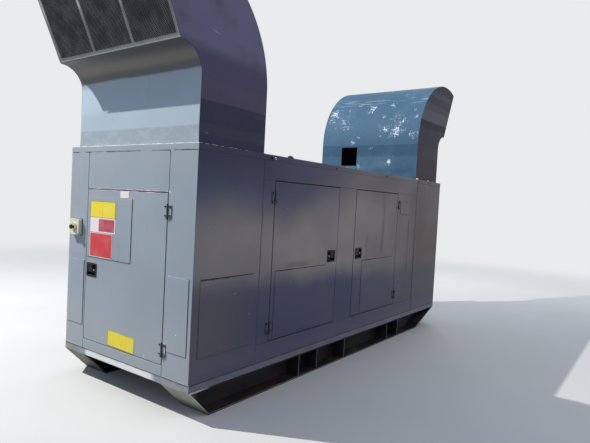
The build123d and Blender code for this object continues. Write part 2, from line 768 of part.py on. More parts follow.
def radiator():
    """Radiator core between two tanks, with the round shroud of the fan."""
    half = RADIATOR_WIDTH / 2
    top = FLOOR + RADIATOR_HEIGHT
    tank_start = CORE_START - TANK_OVERHANG
    tank_end = CORE_END + TANK_OVERHANG
    body = slab(CORE_START, CORE_END, -half, half, FLOOR, top)
    body += slab(tank_start, tank_end, -half, half, top - TANK_HEIGHT, top)
    body += slab(tank_start, tank_end, -half, half, FLOOR, FLOOR + TANK_HEIGHT)
    inner = FAN_RADIUS + SHROUD_CLEARANCE
    ring = rod(CORE_START - SHROUD_DEPTH, CORE_START, 0, SHAFT, inner + SHROUD_SHEET)
    return body + (ring - rod(CORE_START - SHROUD_DEPTH, CORE_START, 0, SHAFT, inner))


def alternator():
    """Round alternator against the flywheel housing, with an end bell and a terminal box."""
    drum_start = ALTERNATOR_START + END_BELL_DEPTH
    body = rod(drum_start, ENGINE_START, 0, SHAFT, ALTERNATOR_RADIUS)
    body += rod(ALTERNATOR_START, drum_start, 0, SHAFT, END_BELL_RADIUS)
    body += slab(drum_start, drum_start + TERMINAL_BOX_LENGTH, -TERMINAL_BOX_WIDTH / 2,
                 TERMINAL_BOX_WIDTH / 2, SHAFT, SHAFT + ALTERNATOR_RADIUS + TERMINAL_BOX_RISE)
    return body + feet(drum_start, END_BELL_RADIUS) + feet(ENGINE_START - 2 * FOOT_LENGTH, END_BELL_RADIUS)


def control_cabinet():
    """Cabinet on a plinth, with its own door towards the end door."""
    x0 = NEAR + WALL + CABINET_SETBACK
    x1 = x0 + CABINET_DEPTH
    middle = (END_BAY[0] + END_BAY[1]) / 2
    y0 = middle - CABINET_WIDTH / 2
    y1 = middle + CABINET_WIDTH / 2
    foot = FLOOR + PLINTH_HEIGHT
    top = foot + CABINET_HEIGHT
    plinth = slab(x0 + PLINTH_INSET, x1 - PLINTH_INSET, y0 + PLINTH_INSET, y1 - PLINTH_INSET, FLOOR, foot)
    front = slab(x0 - CABINET_DOOR, x0, y0 + CABINET_DOOR_MARGIN, y1 - CABINET_DOOR_MARGIN,
                 foot + CABINET_DOOR_MARGIN, top - CABINET_DOOR_MARGIN)
    return slab(x0, x1, y0, y1, foot, top) + plinth + front


def nodes():
    """Every node by name."""
    return {
        "runner_visible_side": runner(),
        "runner_hidden_side": mirrored_y(runner()),
        "cross_beams": cross_beams(),
        "skirt_frame": skirt_frame(),
        "floor_plate": floor_plate(),
        "near_corner_panels": near_corner_panels(),
        "far_corner_panels": far_corner_panels(),
        "far_end_panel": far_end_panel(),
        "end_door_surround": end_door_surround(),
        "side_wall_rails": side_wall_rails(),
        "side_wall_posts": side_wall_posts(),
        "hidden_side_wall": hidden_side_wall(),
        "hidden_side_doors": Compound([mirrored_y(near_door()), mirrored_y(far_door())]),
        "hidden_door_ironwork": hidden_door_ironwork(),
        "roof_ends": Compound([near_roof(), mirrored_x(near_roof())]),
        "roof_middle": roof_panel(-FAR_SEAM, FAR_SEAM),
        "near_cowl_back": cowl_back(),
        "near_cowl_front": cowl_front(),
        "near_cowl_cheeks": cowl_cheeks(),
        "far_cowl_back": far_cowl_back(),
        "far_cowl_front": mirrored_x(cowl_front()),
        "far_cowl_cheeks": mirrored_x(cowl_cheeks()),
        "cowl_mouth_bars": cowl_mouth_bars(),
        "cowl_mesh": cowl_mesh(),
        "end_door": end_door(),
        "end_door_plate": end_door_plate(),
        "end_door_latch": END_LATCH * latch(),
        "end_door_hinge_leaves": Compound(end_hinges(moving_leaf())),
        "side_door_near": near_door(),
        "side_door_near_plate": near_door_plate(),
        "side_door_near_latch": near_latch(),
        "side_door_near_hinge_leaves": Compound(near_hinges(moving_leaf())),
        "side_door_far": far_door(),
        "side_door_far_plate": far_door_plate(),
        "side_door_far_latch": far_latch(),
        "side_door_far_hinge_leaves": Compound(far_hinges(moving_leaf())),
        "fixed_hinge_leaves": fixed_hinge_leaves(),
        "wall_plates": wall_plates(),
        "stop_box": stop_box(),
        "bed_rails": bed_rails(),
        "engine": engine(),
        "engine_fan": engine_fan(),
        "alternator": alternator(),
        "radiator": radiator(),
        "control_cabinet": control_cabinet(),
    }


def main():
    os.makedirs("parts", exist_ok=True)
    for name, shape in nodes().items():
        export_step(shape, f"parts/{name}.step")


main()
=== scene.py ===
"""Looks of the generator set: an enamelled sheet-steel enclosure with two scoop cowls, on a black skid.

Metres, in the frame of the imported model. Each piece has its place in its mesh, and its object at the origin.
Places on a wall are counted from the corner between the end with the door and the side with two doors,
and heights from the deck, which is the top of the skid.
"""
import json
from math import cos, pi, radians, sin, tau
from random import Random

import bmesh
import bpy
from mathutils import Matrix, Vector


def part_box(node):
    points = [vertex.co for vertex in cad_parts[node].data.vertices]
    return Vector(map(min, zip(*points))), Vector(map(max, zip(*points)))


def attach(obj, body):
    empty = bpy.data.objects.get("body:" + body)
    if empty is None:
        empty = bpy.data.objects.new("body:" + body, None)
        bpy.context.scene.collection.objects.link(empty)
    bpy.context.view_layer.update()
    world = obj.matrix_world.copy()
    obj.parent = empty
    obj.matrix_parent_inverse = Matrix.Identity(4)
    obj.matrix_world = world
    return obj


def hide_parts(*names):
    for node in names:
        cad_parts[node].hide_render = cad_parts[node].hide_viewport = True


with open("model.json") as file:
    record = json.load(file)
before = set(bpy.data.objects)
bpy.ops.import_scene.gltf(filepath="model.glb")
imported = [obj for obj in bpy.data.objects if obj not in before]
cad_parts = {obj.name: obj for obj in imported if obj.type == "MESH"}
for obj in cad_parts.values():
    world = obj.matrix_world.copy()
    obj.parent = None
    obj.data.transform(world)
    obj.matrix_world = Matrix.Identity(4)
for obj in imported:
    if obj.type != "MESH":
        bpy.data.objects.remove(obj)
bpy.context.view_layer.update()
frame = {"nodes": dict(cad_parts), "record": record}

# Camera, worked out from the corners of the enclosure in the photograph
CAMERA_PLACE = (-4.870, -3.485, 1.634)
CAMERA_HEADING = 35.95
CAMERA_PITCH = -2.151
CAMERA_ROLL = -3.022
CAMERA_LENS = 31.02

# Planes and levels of the enclosure
BOX_LOW, BOX_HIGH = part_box("skirt_frame")
NEAR, SIDE, DECK = BOX_LOW
FAR, HIDDEN, SKIRT_TOP = BOX_HIGH
ROOF_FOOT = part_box("roof_middle")[0].z
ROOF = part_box("roof_middle")[1].z
WALL = 0.050            # thick
UP = Vector((0, 0, 1))


# Nodes and patterns

SOFT = {"interpolation_type": "SMOOTHSTEP"}     # eases a mask in and out
EVEN = (1, 1, 1)        # a pattern that isn't drawn out


def colour(code):
    """Linear colour of an sRGB hex code."""
    channels = [int(code[i:i + 2], 16) / 255 for i in (1, 3, 5)]
    light = [c / 12.92 if c <= 0.04045 else ((c + 0.055) / 1.055) ** 2.4 for c in channels]
    return (*light, 1.0)


def add(tree, kind, inputs, **settings):
    """Add a node with its settings.

    Its inputs are numbers, colours or the sockets that they link from, by name or in order. For MapRange the
    order is the value, the low and high that it comes from, and the low and high that it goes to.
    """
    node = tree.nodes.new("ShaderNode" + kind)
    for name, value in settings.items():
        setattr(node, name, value)
    for name, value in inputs.items() if isinstance(inputs, dict) else enumerate(inputs):
        if isinstance(value, bpy.types.NodeSocket):
            tree.links.new(value, node.inputs[name])
        else:
            node.inputs[name].default_value = value
    return next((output for output in node.outputs if output.enabled), None)


def new_material(name):
    """Material with an empty tree, and the place of each point on the object."""
    material = bpy.data.materials.new(name)
    material.use_nodes = True
    tree = material.node_tree
    tree.nodes.clear()
    place = add(tree, "TexCoord", {}).node.outputs["Object"]
    return material, tree, place


def patches(tree, place, size, low, high, stretch=EVEN, detail=3, wander=0.0):
    """Mask of soft-edged patches of that size in millimetres, clear below low and full above high."""
    drawn_out = add(tree, "Mapping", {"Vector": place, "Scale": [1 / s for s in stretch]})
    noise = add(tree, "TexNoise", {"Vector": drawn_out, "Scale": 1000 / size, "Detail": detail,
                                   "Distortion": wander})
    return add(tree, "MapRange", (noise, low, high), **SOFT)


def layered(tree, base, layers):
    """Base colour under layers of dirt and wear, each a mask, its share and a hex code."""
    surface = colour(base)
    for mask, share, code in layers:
        if share < 1:
            mask = thinned(tree, mask, share)
        surface = add(tree, "Mix", {0: mask, 6: surface, 7: colour(code)}, data_type="RGBA")
    return surface


def thinned(tree, mask, *others):
    """Mask times the other masks or shares."""
    for other in others:
        mask = add(tree, "Math", (mask, other), operation="MULTIPLY")
    return mask


def strongest(tree, masks):
    """The strongest of the masks at each point."""
    result = masks[0]
    for mask in masks[1:]:
        result = add(tree, "Math", (result, mask), operation="MAXIMUM")
    return result


def span(tree, value, start, end, fade):
    """Mask of the stretch between two places along an axis, with soft ends."""
    rise = add(tree, "MapRange", (value, start - fade, start + fade), **SOFT)
    fall = add(tree, "MapRange", (value, end - fade, end + fade, 1, 0), **SOFT)
    return thinned(tree, rise, fall)


def wandering(tree, place, axis, size, reach):
    """Distance along an axis that strays by up to the reach over patches of that size."""
    along = add(tree, "SeparateXYZ", {"Vector": place}).node.outputs[axis]
    stray = add(tree, "TexNoise", {"Vector": place, "Scale": 1000 / size, "Detail": 2})
    stray = add(tree, "MapRange", (stray, 0.25, 0.75, -reach, reach))
    return add(tree, "Math", (along, stray), operation="ADD")


# Enamels

ORANGE_PEEL = 11        # mm; really about 3, which is too fine to show
SHEET_WAVE = 520        # mm between the soft hollows of a thin sheet
RAIN_RUN = 30           # mm wide runs of washed-down dirt
DUST_SPECK = 9          # mm; really about 2
SCRATCH = 26            # mm long
CHIP_EDGE = 12          # mm between the corners of a ragged edge; really about 4


def sprayed_enamel(name, base, layers, gloss, shine=0.25, hollow=0.004):
    """Alkyd enamel sprayed on folded sheet steel.

    It has a satin sheen over a fine orange peel, duller under its first layer of dirt, and the sheet's soft
    hollows bend what it reflects.
    """
    material, tree, place = new_material(name)
    shade = patches(tree, place, 700, 0.3, 0.7, detail=2)
    scratches = patches(tree, place, SCRATCH, 0.74, 0.78, (6, 6, 1), 2, 0.6)
    speck = patches(tree, place, DUST_SPECK, 0.72, 0.78, detail=1)
    dirt = layers(tree, place)
    wear = [(speck, 0.35, "#8b8987"), (scratches, 0.5, "#b7bbbd")]
    surface = layered(tree, base, dirt + wear)
    value = add(tree, "MapRange", (shade, 0, 1, 0.95, 1.04))
    surface = add(tree, "HueSaturation", {"Value": value, "Color": surface})
    peel = add(tree, "TexNoise", {"Vector": place, "Scale": 1000 / ORANGE_PEEL, "Detail": 1})
    peel = add(tree, "Bump", {"Height": peel, "Strength": 0.25, "Distance": 0.0005})
    wave = add(tree, "TexNoise", {"Vector": place, "Scale": 1000 / SHEET_WAVE, "Detail": 0})
    wave = add(tree, "Bump", {"Height": wave, "Strength": 1, "Distance": hollow, "Normal": peel})
    mask, share, _ = dirt[0]
    matt = add(tree, "MapRange", (thinned(tree, mask, share), 0, 1, gloss, gloss + 0.15))
    shader = add(tree, "BsdfPrincipled", {"Base Color": surface, "Roughness": matt,
                                          "Specular IOR Level": shine, "Normal": wave})
    add(tree, "OutputMaterial", {"Surface": shader})
    return material


# Chips in the paint: place and size
SIDE_CHIPS = (((-1.200, SIDE, 0.919), 0.009), ((-0.455, SIDE, 1.630), 0.006), ((-1.484, SIDE, 0.445), 0.007),
              ((-2.250, SIDE, 1.420), 0.006), ((1.120, SIDE, 0.640), 0.008))
END_CHIPS = (((NEAR, -0.520, 1.662), 0.013), ((NEAR, 0.538, 1.660), 0.009), ((NEAR, -0.553, 1.040), 0.009),
             ((NEAR, -0.742, 1.030), 0.010), ((NEAR, -0.655, 0.620), 0.014), ((NEAR, -0.300, 0.385), 0.012),
             ((NEAR, 0.250, 0.420), 0.010))


def chipped(tree, place, chips):
    """Mask of small ragged chips at the named places."""
    ragged = add(tree, "TexNoise", {"Vector": place, "Scale": 1000 / CHIP_EDGE, "Detail": 3})
    ragged = add(tree, "MapRange", (ragged, 0.3, 0.7, -0.8, 0.8))
    shares = []
    for middle, size in chips:
        away = add(tree, "VectorMath", (place, middle), operation="DISTANCE")
        shares.append(add(tree, "MapRange", (away, 0, size, 1, 0)))
    bare = strongest(tree, shares)
    torn = add(tree, "Math", (thinned(tree, ragged, bare), bare), operation="ADD")
    return add(tree, "MapRange", (torn, 0.42, 0.50))


def clean_layers(tree, place):
    """A thin film of dust, a few faint runs and a dustier foot."""
    film = patches(tree, place, 420, 0.36, 0.70, (2, 2, 1), 4)
    runs = patches(tree, place, RAIN_RUN, 0.56, 0.76, (1, 1, 18))
    wet = patches(tree, place, 480, 0.50, 0.68)
    low = span(tree, wandering(tree, place, "Z", 400, 0.05), DECK - 0.2, DECK + 0.5, 0.25)
    return [(film, 0.30, "#a5a8aa"), (thinned(tree, runs, wet), 0.22, "#6f777f"),
            (low, 0.45, "#adb3b6"), (chipped(tree, place, END_CHIPS), 1, "#dfe3e5")]


# Runs of dirt on the long side, where the photograph shows them: place along the wall, width, foot and head
DIRT_RUNS = ((0.205, 0.020, 1.03, 1.27), (0.590, 0.032, 1.05, 1.74), (1.315, 0.026, 0.82, 1.47),
             (1.530, 0.018, 0.63, 1.22), (-1.640, 0.010, 1.02, 1.56))


def dust_and_reflection_band(tree, place, along, height):
    """Mask of the band on the middle of the long walls, dust and a painted reflection, wider towards the far
    end.
    """
    rise = add(tree, "MapRange", (along, -1.4, 0.6, 0.0, 0.75), **SOFT)
    lowered = add(tree, "Math", (height, rise), operation="SUBTRACT")
    ceiling = add(tree, "MapRange", (lowered, 1.28, 1.76, 1, 0), **SOFT)
    fall = add(tree, "MapRange", (along, -0.6, 0.9, 0.0, 0.10), **SOFT)
    settled = add(tree, "Math", (wandering(tree, place, "Z", 500, 0.035), fall), operation="ADD")
    foot = add(tree, "MapRange", (settled, 0.84, 1.09), **SOFT)
    return thinned(tree, ceiling, foot)


def dirt_runs(tree, place, along, height):
    """Mask of the streaky runs below the ledges."""
    streaks = patches(tree, place, RAIN_RUN, 0.36, 0.66, (0.6, 1, 14), 4)
    runs = [thinned(tree, span(tree, along, middle - width, middle + width, width),
                    span(tree, height, low, high, 0.10))
            for middle, width, low, high in DIRT_RUNS]
    return thinned(tree, strongest(tree, runs), streaks)


def long_side_layers(tree, place):
    """Dust and painted reflection in a band, painted shade at the top, splashes, and dirt by the ledges."""
    axes = add(tree, "SeparateXYZ", {"Vector": place}).node.outputs
    along = axes["X"]
    height = wandering(tree, place, "Z", 700, 0.10)
    band = dust_and_reflection_band(tree, place, along, height)
    film = patches(tree, place, 300, 0.30, 0.75, (1.6, 1, 1), 4)
    violet = patches(tree, place, 900, 0.40, 0.62, detail=1)
    far = add(tree, "MapRange", (along, -0.2, 1.7, 0, 0.62))
    corner = add(tree, "MapRange", (along, NEAR + 0.1, NEAR + 0.9, 0.80, 0), **SOFT)
    splashed = thinned(tree, span(tree, height, DECK + 0.05, 0.98, 0.12), corner)
    top = thinned(tree, add(tree, "MapRange", (height, 1.70, 1.92)),
                  add(tree, "MapRange", (along, -1.7, -0.9, 0.85, 0.0)))
    header = thinned(tree, add(tree, "MapRange", (height, 1.62, 1.80)), span(tree, along, -1.00, 0.70, 0.35))
    foot = span(tree, height, DECK, 0.40, 0.10)
    ruddy = thinned(tree, span(tree, along, 1.60, 2.60, 0.06), span(tree, height, 0.98, 1.45, 0.12))
    smudge = thinned(tree, span(tree, along, -1.26, -0.94, 0.12), span(tree, axes["Z"], 1.06, 1.09, 0.035),
                     add(tree, "MapRange", (film, 0, 1, 0.35, 0.75)))
    runs = dirt_runs(tree, place, along, height)
    # The band is dust and a painted reflection of the ground; top is painted shade at the near top corner
    return [(band, 0.93, "#aaa29d"), (splashed, 1, "#706b6c"), (film, 0.22, "#6e6b6b"),
            (violet, 0.30, "#67627a"), (far, 1, "#666160"), (top, 1, "#3c4158"), (header, 0.45, "#645d66"),
            (foot, 0.6, "#706c7e"), (ruddy, 0.5, "#77645d"), (smudge, 1, "#2d2a2b"), (runs, 0.60, "#2d2a2b"),
            (unshaded_hidden_side(tree, place), 1, "#757a84"), (chipped(tree, place, SIDE_CHIPS), 1, "#d5d6d2")]


def skirt_layers(tree, place):
    """Lighter paint on the end face, a pale stretch along the end's foot rail, and splashes."""
    axes = add(tree, "SeparateXYZ", {"Vector": place}).node.outputs
    end_face = add(tree, "MapRange", (axes["X"], NEAR + 0.001, NEAR + 0.006, 1, 0))
    pale_stretch = span(tree, wandering(tree, place, "Y", 90, 0.02), SIDE + 0.40, SIDE + 1.296, 0.04)
    splash = patches(tree, place, 60, 0.45, 0.72, (3, 3, 1), 5)
    return [(end_face, 1, "#9b9fa2"), (splash, 0.45, "#65615f"),
            (thinned(tree, pale_stretch, end_face), 1, "#f0f2f3")]


def highlight_edge_dirt(tree, place):
    """Dirt specks on the pale edges that are painted highlights."""
    return [(patches(tree, place, 40, 0.40, 0.66, (4, 4, 1), 5), 1, "#6d6b75")]


def roof_layers(tree, place):
    """Dust that lies on the roof, with the rims that puddles leave."""
    dust = patches(tree, place, 520, 0.30, 0.62, detail=5)
    rims = patches(tree, place, 420, 0.44, 0.62, detail=5, wander=0.4)
    return [(dust, 0.65, "#918e88"), (rims, 0.30, "#77746f")]


def hood_layers(tree, place):
    """Dust, painted shade and a painted reflection under the lip, bluer painted shade below it, and a darker
    foot.
    """
    height = wandering(tree, place, "Z", 600, 0.008)
    under = add(tree, "MapRange", (height, 2.553, 2.578), **SOFT)
    dust = span(tree, height, 2.622, 2.680, 0.022)
    shaded = span(tree, height, 2.30, 2.60, 0.03)
    foot = add(tree, "MapRange", (height, 2.150, 2.160, 1, 0))
    mottled = patches(tree, place, 34, 0.40, 0.72, (2.5, 2.5, 1), 5)
    wet = patches(tree, place, 420, 0.50, 0.68)
    runs = patches(tree, place, RAIN_RUN, 0.56, 0.76, (1, 1, 14))
    # painted reflection streak under the lip; foot is painted shade below the crease, with mottled dust and
    # runs
    # shaded is bluer painted shade where the lip's shadow falls; under and dust are dust with painted shade
    # and a
    return [(shaded, 0.5, "#b5cbda"), (under, 1, "#6c6d6e"), (dust, 0.8, "#908b80"), (foot, 0.6, "#939ea6"),
            (thinned(tree, mottled, foot), 0.40, "#bac4ca"), (thinned(tree, runs, wet), 0.25, "#7d8890")]


def back_layers(tree, place):
    """Dust on the crown of the near cowl, and rain runs below it."""
    height = wandering(tree, place, "Z", 500, 0.08)
    crown = add(tree, "MapRange", (height, 3.05, 3.40), **SOFT)
    dust = patches(tree, place, 360, 0.36, 0.66, detail=5)
    runs = patches(tree, place, RAIN_RUN, 0.52, 0.74, (1, 1, 16))
    return [(dust, 0.3, "#82848a"), (thinned(tree, crown, dust), 0.6, "#8d8c89"), (runs, 0.3, "#4d525c")]


def unshaded_hidden_side(tree, place):
    """Mask of the hidden side, painted lighter, since the darker paint of the visible side is painted shade.
    """
    across = add(tree, "SeparateXYZ", {"Vector": place}).node.outputs["Y"]
    return add(tree, "MapRange", (across, -0.74, 0.60, 0, 0.70))


def cheek_layers(tree, place):
    """Bands of painted shade and sheen between the folds, violet above them, dust, and a lighter hidden side.
    """
    height = wandering(tree, place, "Z", 500, 0.012)
    crown = add(tree, "MapRange", (height, 2.66, 2.74))
    upper = add(tree, "MapRange", (height, 2.498, 2.512))
    middle = span(tree, height, 2.338, 2.506, 0.006)
    lower = span(tree, height, 2.095, 2.178, 0.012)
    dust = patches(tree, place, 260, 0.50, 0.95, detail=4)
    # The bands upper, crown, middle and lower are painted shade and sheen of the folds
    return [(upper, 0.9, "#565270"), (crown, 0.85, "#6e718c"), (middle, 0.9, "#554f68"),
            (lower, 0.8, "#3b3f54"), (dust, 1, "#46434f"), (unshaded_hidden_side(tree, place), 1, "#6f747e")]


# Painted shade and sheen of the far cheeks between the folds: foot and head of a band, and its colour
FAR_CHEEK_SHADE_BANDS = ((2.02, 2.34, "#5a4f55"), (2.34, 2.50, "#4d4550"), (2.76, 2.855, "#322c38"),
                   (2.855, 3.015, "#64666d"), (3.015, 3.11, "#55555e"), (3.11, 3.225, "#464853"),
                   (3.225, 3.30, "#565a64"), (3.30, 3.36, "#3f434d"))


def far_cheek_layers(tree, place):
    """Bands of painted shade and sheen between the folds, browner at the foot, dust over them, and a lighter
    hidden side.
    """
    height = wandering(tree, place, "Z", 300, 0.016)
    bands = [(span(tree, height, low, high, 0.008), 0.9, code) for low, high, code in FAR_CHEEK_SHADE_BANDS]
    dust = patches(tree, place, 260, 0.50, 0.95, detail=4)
    return bands + [(dust, 1, "#4c4850"), (unshaded_hidden_side(tree, place), 1, "#6c6f7a")]


FLAKE_SIZE = 36     # mm
# Groups of flakes on the back of the far cowl: X, Y and Z of the middle, how far it spreads, how bare it is
FLAKE_GROUPS = (
    (1.737, 0.649, 2.995, 0.15, 0.19), (1.660, 0.450, 2.845, 0.15, 0.13),
    (1.763, 0.037, 3.036, 0.10, 0.17), (1.797, -0.282, 3.082, 0.07, 0.15),
    (1.689, -0.387, 2.907, 0.10, 0.15), (1.655, -0.503, 2.826, 0.12, 0.13),
    (1.623, -0.257, 2.714, 0.10, 0.15), (1.622, -0.420, 2.700, 0.13, 0.19),
    (1.607, -0.325, 2.625, 0.07, 0.12), (1.607, -0.690, 2.625, 0.09, 0.16),
    (1.600, 0.245, 2.546, 0.06, 0.18), (1.607, 0.159, 2.620, 0.05, 0.14),
    (1.600, -0.062, 2.457, 0.04, 0.13), (1.600, -0.341, 2.264, 0.06, 0.20),
    (1.600, 0.139, 2.194, 0.06, 0.17), (1.681, -0.685, 2.889, 0.06, 0.12),
    (1.690, -0.190, 2.908, 0.05, 0.15), (1.600, 0.300, 2.160, 0.08, 0.14),
    (1.825, 0.260, 3.116, 0.05, 0.14), (1.767, 0.421, 3.042, 0.06, 0.13),
    (1.733, -0.631, 2.989, 0.03, 0.17), (1.976, -0.385, 3.257, 0.06, 0.14),
    (1.637, 0.362, 2.767, 0.07, 0.14), (1.634, -0.160, 2.758, 0.05, 0.15),
    (1.615, -0.502, 2.672, 0.05, 0.16),
)


def flaked_layers(tree, place):
    """Flakes lost down to pale primer in groups, scuffs across the crown, a darker foot, and painted
    reflection in bands by the creases.
    """
    groups = []
    for x, y, z, spread, share in FLAKE_GROUPS:
        away = add(tree, "VectorMath", (place, (x, y, z)), operation="DISTANCE")
        groups.append(add(tree, "MapRange", (away, 0.1 * spread, 1.4 * spread, share, 0)))
    bare = strongest(tree, groups)
    flakes = []
    for stretch in ((1, 2.6, 0.5), (1, 0.45, 1.8)):
        drawn_out = add(tree, "Mapping", {"Vector": place, "Scale": [1 / s for s in stretch]})
        torn = add(tree, "TexNoise", {"Vector": drawn_out, "Scale": 1000 / FLAKE_SIZE, "Detail": 5,
                                      "Roughness": 0.64, "Distortion": 1.0})
        torn = add(tree, "Math", (torn, bare), operation="ADD")
        flakes.append(add(tree, "MapRange", (torn, 0.712, 0.726)))
    height = wandering(tree, place, "Z", 900, 0.01)
    scuffs = patches(tree, place, 26, 0.52, 0.66, (1, 14, 1), 4, 0.5)
    crown = span(tree, wandering(tree, place, "Z", 300, 0.04), 3.13, 3.24, 0.04)
    lower = add(tree, "MapRange", (height, 2.10, 2.62, 0.55, 0))
    dark = span(tree, height, 2.345, 2.50, 0.006)
    foot = span(tree, height, 2.0, 2.170, 0.006)
    cloud = patches(tree, place, 380, 0.45, 0.80, detail=4)
    # lower is darker towards the foot; dark and foot are bands of painted reflection by the creases
    return [(lower, 1, "#37506b"), (dark, 0.45, "#2f4a66"), (foot, 0.40, "#2f4a66"), (cloud, 1, "#52718a"),
            (thinned(tree, scuffs, crown), 0.75, "#a9bac9"), (strongest(tree, flakes), 1, "#cddce8")]


end_enamel = sprayed_enamel("grey_enamel_end", "#98a3ae", clean_layers, 0.42)
# The long walls' dark navy is painted shade over the same grey paint as the ends
side_enamel = sprayed_enamel("grey_enamel_side_dust_and_shade", "#50576f", long_side_layers, 0.42, 0.13)
# The skirt's darker base is painted shade on its sides, like the long walls'; its end face is lighter
skirt_enamel = sprayed_enamel("grey_enamel_skirt", "#7f7d8a", skirt_layers, 0.48)
# Pale grey on rounded edges: a painted highlight along the skirt and over the end door
highlight_edge_enamel = sprayed_enamel("grey_enamel_painted_highlight_edge", "#c6c7cf", highlight_edge_dirt, 0.40)
roof_enamel = sprayed_enamel("grey_enamel_roof", "#7d838c", roof_layers, 0.55)
hood_enamel = sprayed_enamel("grey_enamel_cowl_front", "#a9b9c5", hood_layers, 0.42, 0.25, 0.006)
back_enamel = sprayed_enamel("grey_enamel_cowl_back", "#6f7682", back_layers, 0.46, 0.25, 0.006)
# Dark navy base: painted shade of the cowl's grey enamel on the cheeks
cheek_enamel = sprayed_enamel("grey_enamel_cowl_cheek", "#303650", cheek_layers, 0.42, 0.15, 0.008)
# Dark base: painted shade of the cowl's grey enamel on the far cheeks
far_cheek_enamel = sprayed_enamel("grey_enamel_far_cowl_cheek", "#3f3f4c", far_cheek_layers,
                                  0.45, 0.06, 0.008)
blue_enamel = sprayed_enamel("blue_enamel_flaked", "#46657e", flaked_layers, 0.60, 0.09, 0.006)


# Other finishes

# Sizes of grain in millimetres, with the real size where that is too fine to show and is drawn coarser
MILL_PIT = 8                # really about 2
SPANGLE = 16
BRUSH_MARK = 5
SPARK_PIT = 2.5             # really under 1
FOAM_CELL = 18              # really about 5
SEALANT_LUMP = 9
CAST_SAND = 6               # really about 1
FIN_PITCH = 8               # really about 3
TUBE_PITCH = 24             # really about 12
WAVE_PER_SCALE = 100 * pi   # between the bands of a wave texture at a scale of 1


def brushed_bitumen(name, base):
    """Bitumen paint brushed on hot-rolled steel: flat black over mill pits, with mud and thin rust."""
    material, tree, place = new_material(name)
    mud = patches(tree, place, 190, 0.42, 0.72, (2, 1, 1), 5)
    axes = add(tree, "SeparateXYZ", {"Vector": place}).node.outputs
    # The noses are pale with dust, paler on the visible side as painted light
    noses = add(tree, "MapRange", (axes["X"], NEAR + 0.10, NEAR + 0.24, 0.9, 0))
    lit_side = add(tree, "MapRange", (axes["Y"], -0.5, 0.5, 1, 0.35))
    rusty = span(tree, axes["X"], NEAR + 0.25, NEAR + 1.25, 0.25)
    rust = thinned(tree, patches(tree, place, 120, 0.50, 0.68, (3, 1, 1), 6), rusty, 0.5)
    surface = layered(tree, base, [(mud, 0.5, "#2d2a2c"), (rust, 1, "#43282a"),
                                   (thinned(tree, noses, lit_side), 1, "#cfcdbf")])
    rough = add(tree, "MapRange", (mud, 0, 1, 0.50, 0.85))
    pits = add(tree, "TexNoise", {"Vector": place, "Scale": 1000 / MILL_PIT, "Detail": 3})
    pits = add(tree, "Bump", {"Height": pits, "Strength": 0.4, "Distance": 0.001})
    shader = add(tree, "BsdfPrincipled", {"Base Color": surface, "Roughness": rough,
                                          "Specular IOR Level": 0.35, "Normal": pits})
    add(tree, "OutputMaterial", {"Surface": shader})
    return material


def galvanised_bar():
    """Hot-dip galvanised steel: dull zinc with a faint spangle and white bloom."""
    material, tree, place = new_material("galvanised_steel")
    crystal = add(tree, "TexVoronoi", {"Vector": place, "Scale": 1000 / SPANGLE}).node.outputs["Color"]
    tone = add(tree, "SeparateColor", {"Color": crystal})
    bloom = patches(tree, place, 70, 0.46, 0.70, detail=5)
    surface = layered(tree, "#9a9fa2", [(tone, 1, "#b1b5b7"), (bloom, 0.6, "#bfc2c1")])
    rough = add(tree, "MapRange", (bloom, 0, 1, 0.45, 0.75))
    shader = add(tree, "BsdfPrincipled", {"Base Color": surface, "Metallic": 0.6, "Roughness": rough})
    add(tree, "OutputMaterial", {"Surface": shader})
    return material


def acoustic_foam():
    """Charcoal open-cell foam glued inside the walls: matt and pitted, with brown dust in its cells."""
    material, tree, place = new_material("charcoal_acoustic_foam")
    cells = add(tree, "TexVoronoi", {"Vector": place, "Scale": 1000 / FOAM_CELL})
    dust = patches(tree, place, 260, 0.42, 0.78, detail=4)
    surface = layered(tree, "#1b1b1e", [(cells, 1, "#29292d"), (dust, 0.35, "#4c4742")])
    pits = add(tree, "Bump", {"Height": cells, "Strength": 0.9, "Distance": 0.004})
    shader = add(tree, "BsdfPrincipled", {"Base Color": surface, "Roughness": 0.95,
                                          "Specular IOR Level": 0.2, "Normal": pits})
    add(tree, "OutputMaterial", {"Surface": shader})
    return material


def finned_core():
    """Radiator core of thin fins soldered across flat tubes, sprayed black."""
    material, tree, place = new_material("black_finned_core")
    fins = add(tree, "TexWave", {"Vector": place, "Scale": WAVE_PER_SCALE / FIN_PITCH}, bands_direction="Z")
    tubes = add(tree, "TexWave", {"Vector": place, "Scale": WAVE_PER_SCALE / TUBE_PITCH}, bands_direction="Y")
    relief = strongest(tree, [fins.node.outputs["Fac"], tubes.node.outputs["Fac"]])
    surface = layered(tree, "#08080a", [(relief, 1, "#34353a")])
    ribs = add(tree, "Bump", {"Height": relief, "Strength": 0.7, "Distance": 0.003})
    shader = add(tree, "BsdfPrincipled", {"Base Color": surface, "Roughness": 0.6, "Normal": ribs})
    add(tree, "OutputMaterial", {"Surface": shader})
    return material


